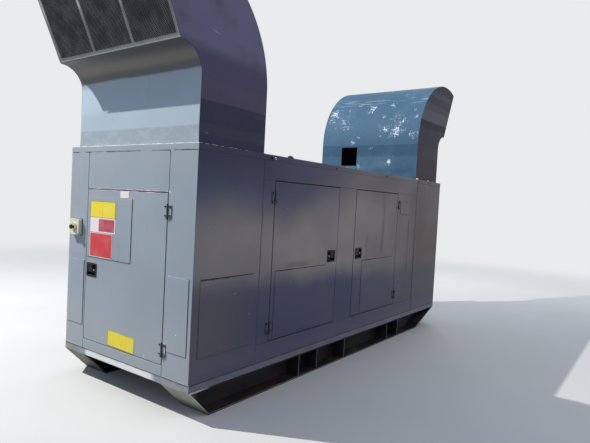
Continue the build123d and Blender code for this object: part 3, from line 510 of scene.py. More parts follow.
def weathered(name, base, coats, gloss, grain=None, **shine):
    """Finish under coats of dirt or wear, each the settings of its patches, its share and its colour.

    The roughness goes from the first gloss to the second where the last coat lies. The grain is a bump: its
    size, detail, strength and depth.
    """
    material, tree, place = new_material(name)
    masks = [patches(tree, place, *pattern) for pattern, _, _ in coats]
    layers = [(mask, share, code) for mask, (_, share, code) in zip(masks, coats)]
    rough = add(tree, "MapRange", (masks[-1], 0, 1, gloss[0], gloss[1]))
    inputs = {"Base Color": layered(tree, base, layers), "Roughness": rough, **shine}
    if grain:
        size, detail, strength, depth = grain
        bumps = add(tree, "TexNoise", {"Vector": place, "Scale": 1000 / size, "Detail": detail})
        inputs["Normal"] = add(tree, "Bump", {"Height": bumps, "Strength": strength, "Distance": depth})
    shader = add(tree, "BsdfPrincipled", inputs)
    add(tree, "OutputMaterial", {"Surface": shader})
    return material


def printed_vinyl(name, ink, faded="#e9e6dd"):
    """Printed vinyl laid on a wall: glossy ink, a little bleached by the sun, with grime in its pores."""
    bleach = ((120, 0.40, 0.80), 0.12, faded)
    pores = ((20, 0.56, 0.78, (1, 1, 5), 4), 0.35, "#6c655c")
    return weathered(name, ink, (bleach, pores), (0.30, 0.60))


def trowelled_sealant(name, base, dusty, smear):
    """Sealant pressed into a joint by hand: waxy and lumpy, with dust stuck to it."""
    dust = ((smear, 0.38, 0.68, EVEN, 4), 1, dusty)
    return weathered(name, base, (dust,), (0.45, 0.80), (SEALANT_LUMP, 2, 0.4, 0.001))


def machinery_enamel(name, base, oily):
    """Machinery enamel over sand castings: grainy under the paint, with oil mist that has caught dust."""
    mist = ((140, 0.40, 0.74, EVEN, 5), 0.7, oily)
    return weathered(name, base, (mist,), (0.38, 0.70), (CAST_SAND, 3, 0.35, 0.001))


skid_paint = brushed_bitumen("black_bitumen_paint", "#14141c")
pale_edged_skid = brushed_bitumen("bitumen_pale_edge", "#8d8b92")
galvanised = galvanised_bar()
foam = acoustic_foam()
core_black = finned_core()
# Galvanised wire, dulled by soot from the machine behind it
sooty_wire = weathered("sooty_galvanised_wire", "#8d9194", [((130, 0.35, 0.65, EVEN, 4), 0.45, "#4c4e52")],
                       (0.45, 0.8), Metallic=0.5)
# Hinge iron in thick brushed paint: soft-edged and semi-gloss black, brown where water has wept
iron = weathered("black_painted_iron", "#0b0c11", [((24, 0.56, 0.72, (1, 1, 2), 4), 0.5, "#2c211e")],
                 (0.38, 0.8), (BRUSH_MARK, 2, 0.3, 0.0006))
# Glass-filled nylon moulded with a spark texture: fine-grained black, a little greyed by the sun
nylon = weathered("black_moulded_nylon", "#0a0a0c", [((40, 0.35, 0.70), 0.5, "#1b1c20")],
                  (0.40, 0.55), (SPARK_PIT, 1, 0.35, 0.0004), **{"Specular IOR Level": 0.2})
# Zinc-plated steel of locks, screws and washers: bright, with a cloudy haze
zinc = weathered("zinc_plated_steel", "#c9cac7", [((7, 0.40, 0.70), 0.5, "#a09f9a")],
                 (0.22, 0.50), Metallic=1)
# Extruded door rubber: black and matt, with a bloom of dust
rubber = weathered("extruded_rubber", "#101013", [((70, 0.45, 0.72), 0.5, "#3d3b39")], (0.55, 0.85))
# Polycarbonate moulded smooth: cream, glossy and yellowed, with dirt in its scratches
cream_box = weathered("cream_moulded_polycarbonate", "#dedccd",
                      [((60, 0.35, 0.70), 0.5, "#cfcaaa"), ((16, 0.56, 0.74, (1, 1, 3), 4), 0.6, "#77705f")],
                      (0.28, 0.6), IOR=1.58)
dark_sealant = trowelled_sealant("dark_butyl_sealant", "#101016", "#262429", 40)
# This grime also stands for painted shade in the door gaps and painted shadow by the end wall's plates
grime_and_shade = trowelled_sealant("black_grime_and_painted_shade", "#131217", "#242226", 25)
pale_sealant = trowelled_sealant("yellowed_silicone_sealant", "#e3e0cf", "#a9a799", 60)
yellow_vinyl = printed_vinyl("yellow_printed_vinyl", "#f3dc1a")
red_vinyl = printed_vinyl("red_printed_vinyl", "#cf202b")
crimson_vinyl = printed_vinyl("crimson_printed_vinyl", "#b8324c")
white_vinyl = printed_vinyl("white_printed_vinyl", "#efe9e8", "#cfc8b8")
olive_vinyl = printed_vinyl("olive_printed_vinyl", "#8d7f24")
ring_vinyl = printed_vinyl("pale_yellow_moulded_ring", "#cdca8b")
engine_enamel = machinery_enamel("blue_grey_machinery_enamel", "#41596a", "#27231f")
alternator_enamel = machinery_enamel("mid_grey_machinery_enamel", "#666b6f", "#302d2a")
cabinet_enamel = machinery_enamel("light_grey_cabinet_enamel", "#b9bbb6", "#a3a198")


# Making pieces

BODIES = {node: body for body, nodes in frame["record"]["behaviour"]["bodies"].items() for node in nodes}


def make_piece(name, bm, materials, body, nodes=(), smooth=30):
    """Turn a bmesh into a piece that rides on a body and stands for the named nodes."""
    mesh = bpy.data.meshes.new(name)
    bm.to_mesh(mesh)
    bm.free()
    for material in materials:
        mesh.materials.append(material)
    mesh.shade_smooth()
    mesh.set_sharp_from_angle(angle=radians(smooth))
    piece = bpy.data.objects.new(name, mesh)
    bpy.context.collection.objects.link(piece)
    flattened = piece.modifiers.new("flat_faces_stay_flat", "WEIGHTED_NORMAL")
    flattened.keep_sharp = True
    if nodes:
        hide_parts(*nodes)
    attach(piece, body)
    return piece


def merged_copy(node):
    """The node's own shape with its loose triangles joined into flat faces."""
    bm = bmesh.new()
    bm.from_mesh(frame["nodes"][node].data)
    bmesh.ops.remove_doubles(bm, verts=bm.verts, dist=1e-5)
    bmesh.ops.dissolve_limit(bm, angle_limit=radians(0.5), verts=bm.verts, edges=bm.edges)
    return bm


def rounded(bm, parts, radius, segments=2, affect="EDGES"):
    """Round some edges or corners."""
    bmesh.ops.bevel(bm, geom=parts, offset=radius, offset_type="OFFSET", affect=affect, segments=segments,
                    profile=0.5, material=-1, clamp_overlap=True)


def soften(bm, radius, segments=2, sharp=40):
    """Round the folded edges, as press tools and paint leave them."""
    folds = [e for e in bm.edges if e.is_manifold and e.calc_face_angle() > radians(sharp)]
    rounded(bm, folds, radius, segments)


def painted(bm, choose):
    """Give each face the material that is chosen from its middle and normal."""
    bm.normal_update()
    for face in bm.faces:
        face.material_index = choose(face.calc_center_median(), face.normal)


def finished(node, materials, radius, choose=None, segments=2, sharp=40):
    """Softened copy of a node in its place, in the finishes chosen for its faces."""
    bm = merged_copy(node)
    soften(bm, radius, segments, sharp)
    if choose:
        painted(bm, choose)
    return make_piece(node + "_finished", bm, materials, BODIES[node], (node,))


def place_on(point, right, up=UP):
    """Place on a surface: X to the right along it, Y up and Z out of it."""
    right = Vector(right)
    matrix = Matrix((right, up, right.cross(up))).transposed().to_4x4()
    matrix.translation = point
    return matrix


def on_end(across, up):
    """Place on the wall of the end with the door."""
    return place_on((NEAR, SIDE + across, DECK + up), (0, -1, 0))


def on_side(along, up):
    """Place on the long wall with two doors."""
    return place_on((NEAR + along, SIDE, DECK + up), (1, 0, 0))


def on_hidden_side(along, up):
    """Place on the other long wall."""
    return place_on((NEAR + along, HIDDEN, DECK + up), (-1, 0, 0))


def lifted(matrix, x, y, z):
    """Place moved along its own axes."""
    return matrix @ Matrix.Translation((x, y, z))


def edges_of(verts):
    """The edges that meet at some vertices, each once."""
    return list(dict.fromkeys(edge for vert in verts for edge in vert.link_edges))


def faces_of(verts):
    """The faces that meet at some vertices, each once."""
    return list(dict.fromkeys(face for vert in verts for face in vert.link_faces))


def add_block(bm, matrix, start, end, radius=0.0, material=0):
    """Box between two opposite corners of a place, with its edges rounded."""
    start, end = Vector(start), Vector(end)
    size = [abs(length) for length in end - start]
    shape = matrix @ Matrix.Translation((start + end) / 2) @ Matrix.Diagonal((*size, 1))
    made = bmesh.ops.create_cube(bm, size=1, matrix=shape)["verts"]
    for face in faces_of(made):
        face.material_index = material
    if radius:
        rounded(bm, edges_of(made), radius)


def add_disc(bm, matrix, radius, height, top_radius=None, segments=16, material=0):
    """Round or many-sided head that stands on a place."""
    made = bmesh.ops.create_cone(bm, cap_ends=True, segments=segments, radius1=radius,
                                 radius2=radius if top_radius is None else top_radius, depth=height,
                                 matrix=lifted(matrix, 0, 0, height / 2))["verts"]
    for face in faces_of(made):
        face.material_index = material


def add_bolt(bm, matrix, radius, height):
    """Hexagon head on its washer."""
    washer = height * 0.25
    add_disc(bm, matrix, radius * 1.45, washer, segments=14)
    add_disc(bm, lifted(matrix, 0, 0, washer), radius, height - washer, radius * 0.92, 6)


def add_ring(bm, matrix, radius, wire, segments=18, material=0):
    """Round ring of wire that lies on a place."""
    before = set(bm.faces)
    start = lifted(matrix, radius, 0, wire) @ Matrix.Rotation(pi / 2, 4, "X")
    section = bmesh.ops.create_circle(bm, segments=6, radius=wire, matrix=start)["verts"]
    bmesh.ops.spin(bm, geom=edges_of(section), cent=matrix @ Vector((0, 0, wire)), axis=matrix.to_3x3() @ UP,
                   angle=tau, steps=segments, use_merge=True)
    made = [face for face in bm.faces if face not in before]
    for face in made:
        face.material_index = material
    bmesh.ops.recalc_face_normals(bm, faces=made)


def add_sheet(bm, matrix, width, height, thickness, corner, border=0.0, materials=(0, 0)):
    """Thin plate with round corners on a place, with a printed border of the second material."""
    before = set(bm.faces)
    made = bmesh.ops.create_grid(bm, x_segments=1, y_segments=1, size=0.5,
                                 matrix=matrix @ Matrix.Diagonal((width, height, 1, 1)))["verts"]
    rounded(bm, made, corner, 3, "VERTICES")
    foot = [face for face in bm.faces if face not in before]
    raised = bmesh.ops.extrude_face_region(bm, geom=foot, use_keep_orig=True)["geom"]
    tops = [item for item in raised if isinstance(item, bmesh.types.BMVert)]
    bmesh.ops.translate(bm, verts=tops, vec=matrix.to_3x3() @ Vector((0, 0, thickness)))
    whole = [face for face in bm.faces if face not in before]
    bmesh.ops.recalc_face_normals(bm, faces=whole)
    for face in whole:
        face.material_index = materials[0]
    if border:
        front = [item for item in raised if isinstance(item, bmesh.types.BMFace)]
        rim = bmesh.ops.inset_region(bm, faces=front, thickness=border, use_even_offset=True)["faces"]
        for face in rim:
            face.material_index = materials[1]


def add_bead(bm, start, end, radius, seed, uneven=0.25, gaps=0.0, step=0.05, segments=6):
    """Bead of sealant between two points, thicker and thinner along it, and missing here and there."""
    chance = Random(seed)
    start, end = Vector(start), Vector(end)
    pieces = max(1, round((end - start).length / step))
    turn = UP.rotation_difference(end - start).to_matrix().to_4x4()
    before = radius
    for number in range(pieces):
        after = radius * (1 + chance.uniform(-uneven, uneven))
        a = start.lerp(end, number / pieces)
        b = start.lerp(end, (number + 1) / pieces)
        if chance.random() >= gaps:
            bmesh.ops.create_cone(bm, cap_ends=True, segments=segments, radius1=before, radius2=after,
                                  depth=(b - a).length, matrix=Matrix.Translation((a + b) / 2) @ turn)
        before = after


SMEAR_STEP = 0.013
SMEAR_LEAST = 0.0010


def add_smear(bm, matrix, length, start_height, end_height, ragged, seed, thickness=0.0006):
    """Film of dirt that hangs ragged from a straight line, and thins along it."""
    chance = Random(seed)
    steps = max(4, round(length / SMEAR_STEP))
    made = bmesh.ops.create_grid(bm, x_segments=steps, y_segments=1, size=0.5,
                                 matrix=Matrix.Diagonal((length, 1, 1, 1)))["verts"]
    drop = 0.0
    for vert in sorted(made, key=lambda v: (v.co.x, v.co.y)):
        share = vert.co.x / length + 0.5
        if vert.co.y > 0:
            vert.co.y = 0.0006 * chance.random()
            continue
        drop = 0.55 * drop + 0.45 * chance.uniform(-1, 1)
        depth = start_height + (end_height - start_height) * share
        vert.co.y = -max(SMEAR_LEAST, depth * (1 + ragged * drop))
    raised = bmesh.ops.extrude_face_region(bm, geom=faces_of(made), use_keep_orig=True)["geom"]
    tops = [item for item in raised if isinstance(item, bmesh.types.BMVert)]
    bmesh.ops.translate(bm, verts=tops, vec=(0, 0, thickness))
    bmesh.ops.recalc_face_normals(bm, faces=faces_of(made + tops))
    bmesh.ops.transform(bm, verts=made + tops, matrix=matrix)


# Walls, doors and roof

SIDE_FINISH, END_FINISH, FOAM_LINING, ROOF_FINISH, GAP_SHADE_FINISH, HIGHLIGHT_EDGE_FINISH = range(6)
DOORS = ("end_door", "side_door_near", "side_door_far")
WALL_MATERIALS = (side_enamel, end_enamel, foam, roof_enamel, grime_and_shade, highlight_edge_enamel)
LINING_DEPTH = 0.043    # faces further in than this are lined
END_OUT = Vector((-1, 0, 0))
SIDE_OUT = Vector((0, -1, 0))
# Edges round the doors that are painted dark as shade in the gap, or pale as a highlight: door, the way it
# faces, axis, whether it is the low or the high end, and the finish there
DARK_AND_PALE_GAPS = (
    ("end_door", END_OUT, 1, 0, GAP_SHADE_FINISH), ("end_door", END_OUT, 2, 1, HIGHLIGHT_EDGE_FINISH),
    ("side_door_near", SIDE_OUT, 0, 0, GAP_SHADE_FINISH), ("side_door_near", SIDE_OUT, 2, 1, GAP_SHADE_FINISH),
    ("side_door_near", SIDE_OUT, 2, 0, GAP_SHADE_FINISH), ("side_door_far", SIDE_OUT, 0, 0, GAP_SHADE_FINISH),
    ("side_door_far", SIDE_OUT, 2, 1, GAP_SHADE_FINISH), ("side_door_far", SIDE_OUT, 2, 0, GAP_SHADE_FINISH),
)
GAP_REACH = 0.010       # from a door's edge, within which an edge belongs to its gap


def gap_finish(middle, normal):
    """Finish of the rounded edges along the dark and pale gaps, or none elsewhere."""
    for door, out, axis, end, finish in DARK_AND_PALE_GAPS:
        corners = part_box(door)
        beside = all(corners[0][i] - GAP_REACH < middle[i] < corners[1][i] + GAP_REACH for i in range(3))
        if beside and 0.3 < normal.dot(out) < 0.95 and abs(middle[axis] - corners[end][axis]) < GAP_REACH:
            return finish
    return None


def wall_finish(middle, normal):
    """The inside is lined, the top is dusty, and the sides are painted darker than the ends, as painted shade.
    """
    gap_tone = gap_finish(middle, normal)
    if gap_tone is not None:
        return gap_tone
    inside = abs(middle.x) < FAR - LINING_DEPTH and abs(middle.y) < HIDDEN - LINING_DEPTH
    if inside and middle.z < ROOF_FOOT + 0.001:
        return FOAM_LINING
    if normal.z > 0.95 and middle.z > ROOF - 0.01:
        return ROOF_FINISH
    on_the_end = abs(middle.x) > FAR - WALL and abs(middle.y) < HIDDEN - 0.003
    return END_FINISH if on_the_end else SIDE_FINISH


def skirt_finish(middle, normal):
    """The rounded edges are painted pale, as a painted highlight."""
    return 1 if max(abs(normal.x), abs(normal.y), abs(normal.z)) < 0.95 else 0


def door_finish(middle, normal):
    """The doors are sprayed inside and out."""
    gap_tone = gap_finish(middle, normal)
    if gap_tone is not None:
        return gap_tone
    return END_FINISH if middle.x < NEAR + WALL else SIDE_FINISH


for wall in ("near_corner_panels", "far_corner_panels", "far_end_panel", "end_door_surround",
             "side_wall_rails", "side_wall_posts", "hidden_side_wall", "hidden_side_doors",
             "roof_middle", "roof_ends"):
    finished(wall, WALL_MATERIALS, 0.0022, wall_finish)
for door in DOORS:
    finished(door, WALL_MATERIALS, 0.0032, door_finish)
for plate in (*(door + "_plate" for door in DOORS), "wall_plates"):
    finished(plate, WALL_MATERIALS, 0.0016, wall_finish)
finished("skirt_frame", (skirt_enamel, highlight_edge_enamel), 0.0035, skirt_finish)

RUNNER_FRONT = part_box("runner_visible_side")[0].y
FLANGE = 0.012          # thick
# Stiffeners of the runners, by their places along X
STIFFENERS = (NEAR + 1.376, NEAR + 1.682, NEAR + 2.210, FAR - 1.514, FAR - 1.209)


def runner_finish(middle, normal):
    """The front edges of the stiffeners and of the lower flange are pale."""
    at_front = abs(middle.y) > -RUNNER_FRONT - 0.003
    on_stiffener = min(abs(middle.x - place) for place in STIFFENERS) < 0.006 and middle.z < DECK - FLANGE
    return 1 if at_front and (on_stiffener or middle.z < FLANGE) else 0


for runner in ("runner_visible_side", "runner_hidden_side"):
    finished(runner, (skid_paint, pale_edged_skid), 0.0022, runner_finish)
for beam in ("cross_beams", "floor_plate", "bed_rails"):
    finished(beam, (skid_paint,), 0.0028)


HIGHLIGHT_BEAD_RISE = 0.0105      # from the top of the end door up to the bead over it


def wall_seams():
    """Dark sealant in the joints between the wall sheets."""
    surround_low, surround_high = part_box("end_door_surround")
    door_low, door_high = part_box("end_door")
    rails_low, rails_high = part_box("side_wall_rails")
    bm = bmesh.new()
    for y in (surround_low.y, surround_high.y):
        add_bead(bm, (NEAR, y, door_high.z + 0.006), (NEAR, y, ROOF_FOOT), 0.0019, 3)
        add_bead(bm, (NEAR, y, SKIRT_TOP), (NEAR, y, door_low.z - 0.006), 0.0017, 4)
    add_bead(bm, (NEAR, SIDE + 0.01, ROOF_FOOT), (NEAR, HIDDEN - 0.01, ROOF_FOOT), 0.0021, 5, 0.6, 0.16)
    add_bead(bm, (NEAR, SIDE + 0.01, SKIRT_TOP), (NEAR, HIDDEN - 0.01, SKIRT_TOP), 0.0026, 6)
    for y in (SIDE, HIDDEN):
        add_bead(bm, (rails_low.x, y, SKIRT_TOP), (rails_low.x, y, ROOF_FOOT), 0.0014, 7, gaps=0.1)
        add_bead(bm, (rails_high.x, y, SKIRT_TOP), (rails_high.x, y, ROOF_FOOT), 0.0030, 8)
        add_bead(bm, (NEAR + 0.01, y, SKIRT_TOP), (FAR - 0.01, y, SKIRT_TOP), 0.0040, 9)
        add_bead(bm, (NEAR + 0.01, y, ROOF_FOOT), (rails_high.x, y, ROOF_FOOT), 0.0012, 10, gaps=0.35)
        add_bead(bm, (rails_high.x, y, ROOF_FOOT), (FAR - 0.01, y, ROOF_FOOT), 0.0024, 11)
    end_low, end_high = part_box("far_end_panel")
    for y in (end_low.y, end_high.y):
        add_bead(bm, (FAR, y, SKIRT_TOP), (FAR, y, ROOF_FOOT), 0.0022, 12)
    add_bead(bm, (FAR, SIDE + 0.01, ROOF_FOOT), (FAR, HIDDEN - 0.01, ROOF_FOOT), 0.0020, 13)
    make_piece("wall_seam_sealant", bm, (dark_sealant,), "enclosure")
    # A pale sealant bead over the end door, which paints the highlight along the frame's lower edge
    bm = bmesh.new()
    above = door_high.z + HIGHLIGHT_BEAD_RISE
    add_bead(bm, (NEAR, door_low.y, above), (NEAR, door_high.y, above), 0.0018, 14, 0.4, 0.30, 0.03)
    make_piece("end_door_highlight_bead", bm, (pale_sealant,), "enclosure")


PLATE_RISE = 0.005      # from the wall to the front of a raised plate
BEST_EDGE_LINE = 0.0019
THIN_EDGE_LINE = 0.0014
HATCH_EDGE_LINE = 0.0040
HATCH_AREA = 0.06       # square metres, above the hatch's own


def edge_dirt_and_shadow(name, node, body):
    """Dark line round the foot of each raised plate of a node, kept best on one edge.

    That is the top edge on the long sides, where it is dirt, and the edge nearest the visible long side on the
    end wall, where it is a painted shadow. A small hatch keeps its line all round.
    """
    bm = bmesh.new()
    plates = merged_copy(node)
    plates.normal_update()
    for face in plates.faces:
        middle = face.calc_center_median()
        raised = middle.x < NEAR - 0.002 or abs(middle.y) > HIDDEN + 0.002
        if not raised or face.calc_area() < 0.01:
            continue
        corners = [vert.co - PLATE_RISE * face.normal for vert in face.verts]
        hatch = face.calc_area() < HATCH_AREA
        reach = [-corner.y if middle.x < NEAR - 0.002 else corner.z for corner in corners]
        for number, corner in enumerate(corners):
            best = min(reach[number], reach[number - 1]) > max(reach) - 0.01
            radius = HATCH_EDGE_LINE if hatch else BEST_EDGE_LINE if best else THIN_EDGE_LINE
            add_bead(bm, corner, corners[number - 1], radius, number, 0.5, 0.10 if hatch or best else 0.50)
    plates.free()
    make_piece(name, bm, (grime_and_shade,), body)


def ledge_dirt(name, body, start, end, up, start_height, end_height, seed):
    """Dirt that has gathered on the upper edge of a plate on the long side, thick at its start."""
    bm = bmesh.new()
    place = lifted(on_side((start + end) / 2, up), 0, 0.0022, 0.0047)
    add_smear(bm, place, end - start, start_height, end_height, 0.55, seed)
    above = lifted(on_side((start + end) / 2, up), 0, start_height * 0.35, 0)
    add_smear(bm, above, end - start, start_height * 0.6, end_height * 0.5, 0.9, seed + 50)
    make_piece(name, bm, (grime_and_shade,), body)


wall_seams()
for door in DOORS:
    edge_dirt_and_shadow(door + "_plate_dirt_and_shadow", door + "_plate", door)
edge_dirt_and_shadow("wall_plate_dirt_and_shadow", "wall_plates", "enclosure")
PLATE_TOP = 0.815
ledge_dirt("near_panel_ledge_dirt", "enclosure", 0.072, 0.666, PLATE_TOP, 0.0110, 0.0030, 21)
ledge_dirt("near_door_ledge_dirt", "side_door_near", 0.946, 1.743, PLATE_TOP, 0.0065, 0.0045, 22)
ledge_dirt("far_door_ledge_dirt", "side_door_far", 2.491, 3.245, PLATE_TOP, 0.0085, 0.0025, 23)


# Cowls

HOOD_FINISH, CHEEK_FINISH, BLUE_FINISH, COWL_LINING, BACK_FINISH = range(5)
COWL_MATERIALS = (hood_enamel, cheek_enamel, blue_enamel, foam, back_enamel)
COWL_FRONT = FAR - 0.045
COWL_BACK = 1.600
BEND_LEVEL = ROOF + 0.490       # height and place along X of the centre that the sheets bend round
BEND_CENTRE = COWL_FRONT + 0.200
COWL_HALF_WIDTH = HIDDEN - 0.050


def facing_out(middle, normal):
    """Whether a face of a bent sheet looks away from the centre of its bend."""
    side = 1 if middle.x > 0 else -1
    centre = Vector((side * BEND_CENTRE, 0, min(middle.z, BEND_LEVEL)))
    return (Vector((middle.x, 0, middle.z)) - centre).dot(normal) > 0


def far_back_finish(middle, normal):
    """The far cowl is blue outside and lined inside."""
    return BLUE_FINISH if facing_out(middle, normal) or abs(normal.y) > 0.5 else COWL_LINING


def near_back_finish(middle, normal):
    """The near cowl is grey outside and lined inside, and its edges are sprayed with its cheeks."""
    if abs(normal.y) > 0.5:
        return CHEEK_FINISH
    return BACK_FINISH if facing_out(middle, normal) else COWL_LINING


def front_finish(middle, normal):
    """The front sheets face the way that their bend does."""
    return COWL_LINING if facing_out(middle, normal) else HOOD_FINISH


def cheek_finish(middle, normal):
    """The cheeks are lined on their inner faces."""
    return 1 if middle.y * normal.y < 0 and abs(normal.y) > 0.5 else 0


def cut_along(bm, point, normal):
    """Put a line of new edges where a plane crosses the sheet."""
    bmesh.ops.bisect_plane(bm, geom=bm.verts[:] + bm.edges[:] + bm.faces[:], dist=1e-5,
                           plane_co=point, plane_no=normal)


# Heights of the creases
BACK_CREASES = (2.175, 2.341, 2.507)
FRONT_CREASE = 2.155


def creased(node, levels, shifts, choose):
    """Cowl sheet bent a little at each crease, as a sheet worked by hand over a bar is."""
    bm = merged_copy(node)
    for level, shift in zip(levels, shifts):
        cut_along(bm, (0, 0, level), UP)
        line = [v for v in bm.verts if abs(v.co.z - level) < 1e-4]
        bmesh.ops.translate(bm, verts=line, vec=(shift, 0, 0))
    soften(bm, 0.0012, 1, 60)
    painted(bm, choose)
    piece = make_piece(node + "_finished", bm, COWL_MATERIALS, "enclosure", (node,))
    for edge in piece.data.edges:
        heights = [piece.data.vertices[i].co.z for i in edge.vertices]
        if any(max(abs(height - level) for height in heights) < 1e-3 for level in levels):
            edge.use_edge_sharp = True


FOLD_REACH = 0.085      # from the middle of a fold to its edges
RIM_REACH = 0.10        # how far the rim keeps the sheet flat


def sprung(node, folds, depth, finish, smooth):
    """Cheeks whose thin sheet has sprung into shallow slanting folds, and is held flat at its rim.

    Each fold is its height at the cowl's back, its slope and its share of the depth.
    """
    bm = merged_copy(node)
    for side in (-1, 1):
        for level, slope, _ in folds:
            normal = Vector((-side * slope, 0, 1)).normalized()
            for shift in (-FOLD_REACH, 0, FOLD_REACH):
                cut_along(bm, (side * COWL_BACK, 0, level + shift), normal)
    for number in range(1, 10):
        for side in (-1, 1):
            cut_along(bm, (side * (COWL_BACK + 0.12 * number), 0, 0), (1, 0, 0))
    rim = [Vector((v.co.x, v.co.z)) for v in bm.verts
           if any(e.is_manifold and e.calc_face_angle() > radians(60) for e in v.link_edges)]
    moves = {}
    for vert in bm.verts:
        here = Vector((vert.co.x, vert.co.z))
        hold = min(1, min((here - other).length for other in rim) / RIM_REACH)
        bend = 0.0
        for level, slope, share in folds:
            over = abs(here.y - level - slope * (abs(here.x) - COWL_BACK))
            bend += share * max(0, 1 - over / FOLD_REACH)
        moves[vert] = depth * hold * bend
    for vert, move in moves.items():
        vert.co.y += move if vert.co.y > 0 else -move
    soften(bm, 0.0010, 1, 60)
    painted(bm, cheek_finish)
    make_piece(node + "_finished", bm, (finish, foam), "enclosure", (node,), smooth)


creased("far_cowl_back", BACK_CREASES, (-0.0045, 0.0015, -0.0025), far_back_finish)
creased("near_cowl_back", BACK_CREASES, (0.005, -0.002, 0.005), near_back_finish)
creased("near_cowl_front", (FRONT_CREASE,), (-0.004,), front_finish)
creased("far_cowl_front", (FRONT_CREASE,), (0.004,), front_finish)
sprung("near_cowl_cheeks", ((2.140, 0.03, -0.5), (2.340, 0.05, 0.9), (2.500, 0.09, -0.7),
                            (2.740, 0.20, 0.7), (2.950, 0.28, -0.6)), 0.004, cheek_enamel, 2.5)
sprung("far_cowl_cheeks", ((2.200, 0.04, -0.5), (2.434, 0.115, 0.9), (2.650, 0.23, -0.6),
                           (2.785, 0.22, 0.9), (2.930, 0.32, -0.8)), 0.006, far_cheek_enamel, 1.5)
finished("cowl_mouth_bars", (galvanised,), 0.002)

MESH_PITCH = 0.013      # between neighbouring wires
MESH_WIRE = 0.0012      # radius
# Edges of a mouth: distance from the middle of the roof, and height
MOUTH_LIP = (2.5485, 2.716)
MOUTH_BROW = (2.8335, 3.384)


def cowl_mouth(side):
    """Middle of a cowl's mouth, with X across it and Y up its slope, and its half sizes."""
    low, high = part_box("cowl_mesh")
    lip = Vector((side * MOUTH_LIP[0], 0, MOUTH_LIP[1]))
    brow = Vector((side * MOUTH_BROW[0], 0, MOUTH_BROW[1]))
    matrix = place_on((lip + brow) / 2, (0, 1, 0), (brow - lip).normalized())
    return matrix, (high.y - low.y) / 2 - 0.002, (brow - lip).length / 2 - 0.006


def add_wires(bm, matrix, half_width, half_height, slope, lift):
    """Parallel wires at 45 degrees across the mouth, cut at its frame."""
    spacing = MESH_PITCH * 2 ** 0.5
    reach = half_width + half_height
    for number in range(1, int(2 * reach / spacing)):
        offset = number * spacing - reach
        start = max(-half_height, -half_width - offset)
        end = min(half_height, half_width - offset)
        if end - start < 0.02:
            continue
        a = Vector((slope * (offset + start), start, lift))
        b = Vector((slope * (offset + end), end, lift))
        turn = UP.rotation_difference(b - a).to_matrix().to_4x4()
        bmesh.ops.create_cone(bm, cap_ends=True, segments=4, radius1=MESH_WIRE, radius2=MESH_WIRE,
                              depth=(b - a).length, matrix=matrix @ Matrix.Translation((a + b) / 2) @ turn)


def wire_mesh():
    """Diamond mesh of crossed wires in both mouths."""
    bm = bmesh.new()
    for side in (-1, 1):
        matrix, half_width, half_height = cowl_mouth(side)
        add_wires(bm, matrix, half_width, half_height, 1, MESH_WIRE)
        add_wires(bm, matrix, half_width, half_height, -1, -MESH_WIRE)
    make_piece("cowl_wire_mesh", bm, (sooty_wire,), "enclosure", ("cowl_mesh",))


def cowl_foot_sealant():
    """Old silicone round the foot of both cowls, pressed on by hand and broken away in places."""
    bm = bmesh.new()
    y = COWL_HALF_WIDTH
    for side in (-1, 1):
        front, back = side * COWL_FRONT, side * COWL_BACK
        add_bead(bm, (front, -y, ROOF), (front, y, ROOF), 0.0085, 31, 0.16, 0.04, 0.03)
        add_bead(bm, (back, -y, ROOF), (back, y, ROOF), 0.0045, 32, 0.5, 0.25, 0.03)
        for cheek in (-y, y):
            add_bead(bm, (front, cheek, ROOF), (back, cheek, ROOF), 0.0085, 33, 0.25, 0.48, 0.03)
    for x, size in ((1.585, 0.017), (1.600, 0.013), (1.955, 0.016), (1.985, 0.010)):
        lump = Matrix.Translation((x, -y - 0.022, ROOF + 0.3 * size)) @ Matrix.Diagonal((1.4, 1, 1, 1))
        bmesh.ops.create_icosphere(bm, subdivisions=2, radius=size, matrix=lump)
    make_piece("cowl_foot_sealant", bm, (pale_sealant,), "enclosure")


wire_mesh()
cowl_foot_sealant()


# Hinges, latches and stop box

LEAF_FINISH, IRON_FINISH, END_LEAF_FINISH, LATCH_FINISH = range(4)
HINGE_MATERIALS = (side_enamel, iron, end_enamel, nylon)
HINGE_HEIGHT = 0.110
LEAF_RISE = 0.0046      # out from the wall, between the face of a leaf and its knuckles
SIDE_LATCH_LEVEL = 0.898
LATCH_REACH = 0.08      # up and down from that level


def hinge_finish(middle, normal):
    """Leaves sprayed with the wall, black knuckles and pins, and the nylon latches of the hidden doors."""
    if abs(middle.z - DECK - SIDE_LATCH_LEVEL) < LATCH_REACH:
        return LATCH_FINISH
    rise = max(NEAR - middle.x, SIDE - middle.y, middle.y - HIDDEN)
    if rise > LEAF_RISE:
        return IRON_FINISH
    return END_LEAF_FINISH if middle.x < NEAR + 0.001 else LEAF_FINISH


for leaves in (*(door + "_hinge_leaves" for door in DOORS), "fixed_hinge_leaves", "hidden_door_ironwork"):
    finished(leaves, HINGE_MATERIALS, 0.0007, hinge_finish, 1, 50)
for door in DOORS:
    finished(door + "_latch", (nylon,), 0.0012, None, 1)

BOLT_OUT = 0.028        # from the hinge's axis to its bolts
BOLT_UP = 0.034         # from the hinge's middle to its bolts
LEAF_REACH = 0.044      # from the hinge's axis to the edge of a leaf
LEAF_FACE = 0.0038      # just under the front of a leaf, and of a latch's rim, out from the wall
# Each door's hinge axis as a place on its wall, and which way the door lies from there, 1 for the right
HINGED_DOORS = {
    "end_door": (on_end, 0.300, -1),
    "side_door_near": (on_side, 0.886, 1),
    "side_door_far": (on_side, 3.352, -1),
}


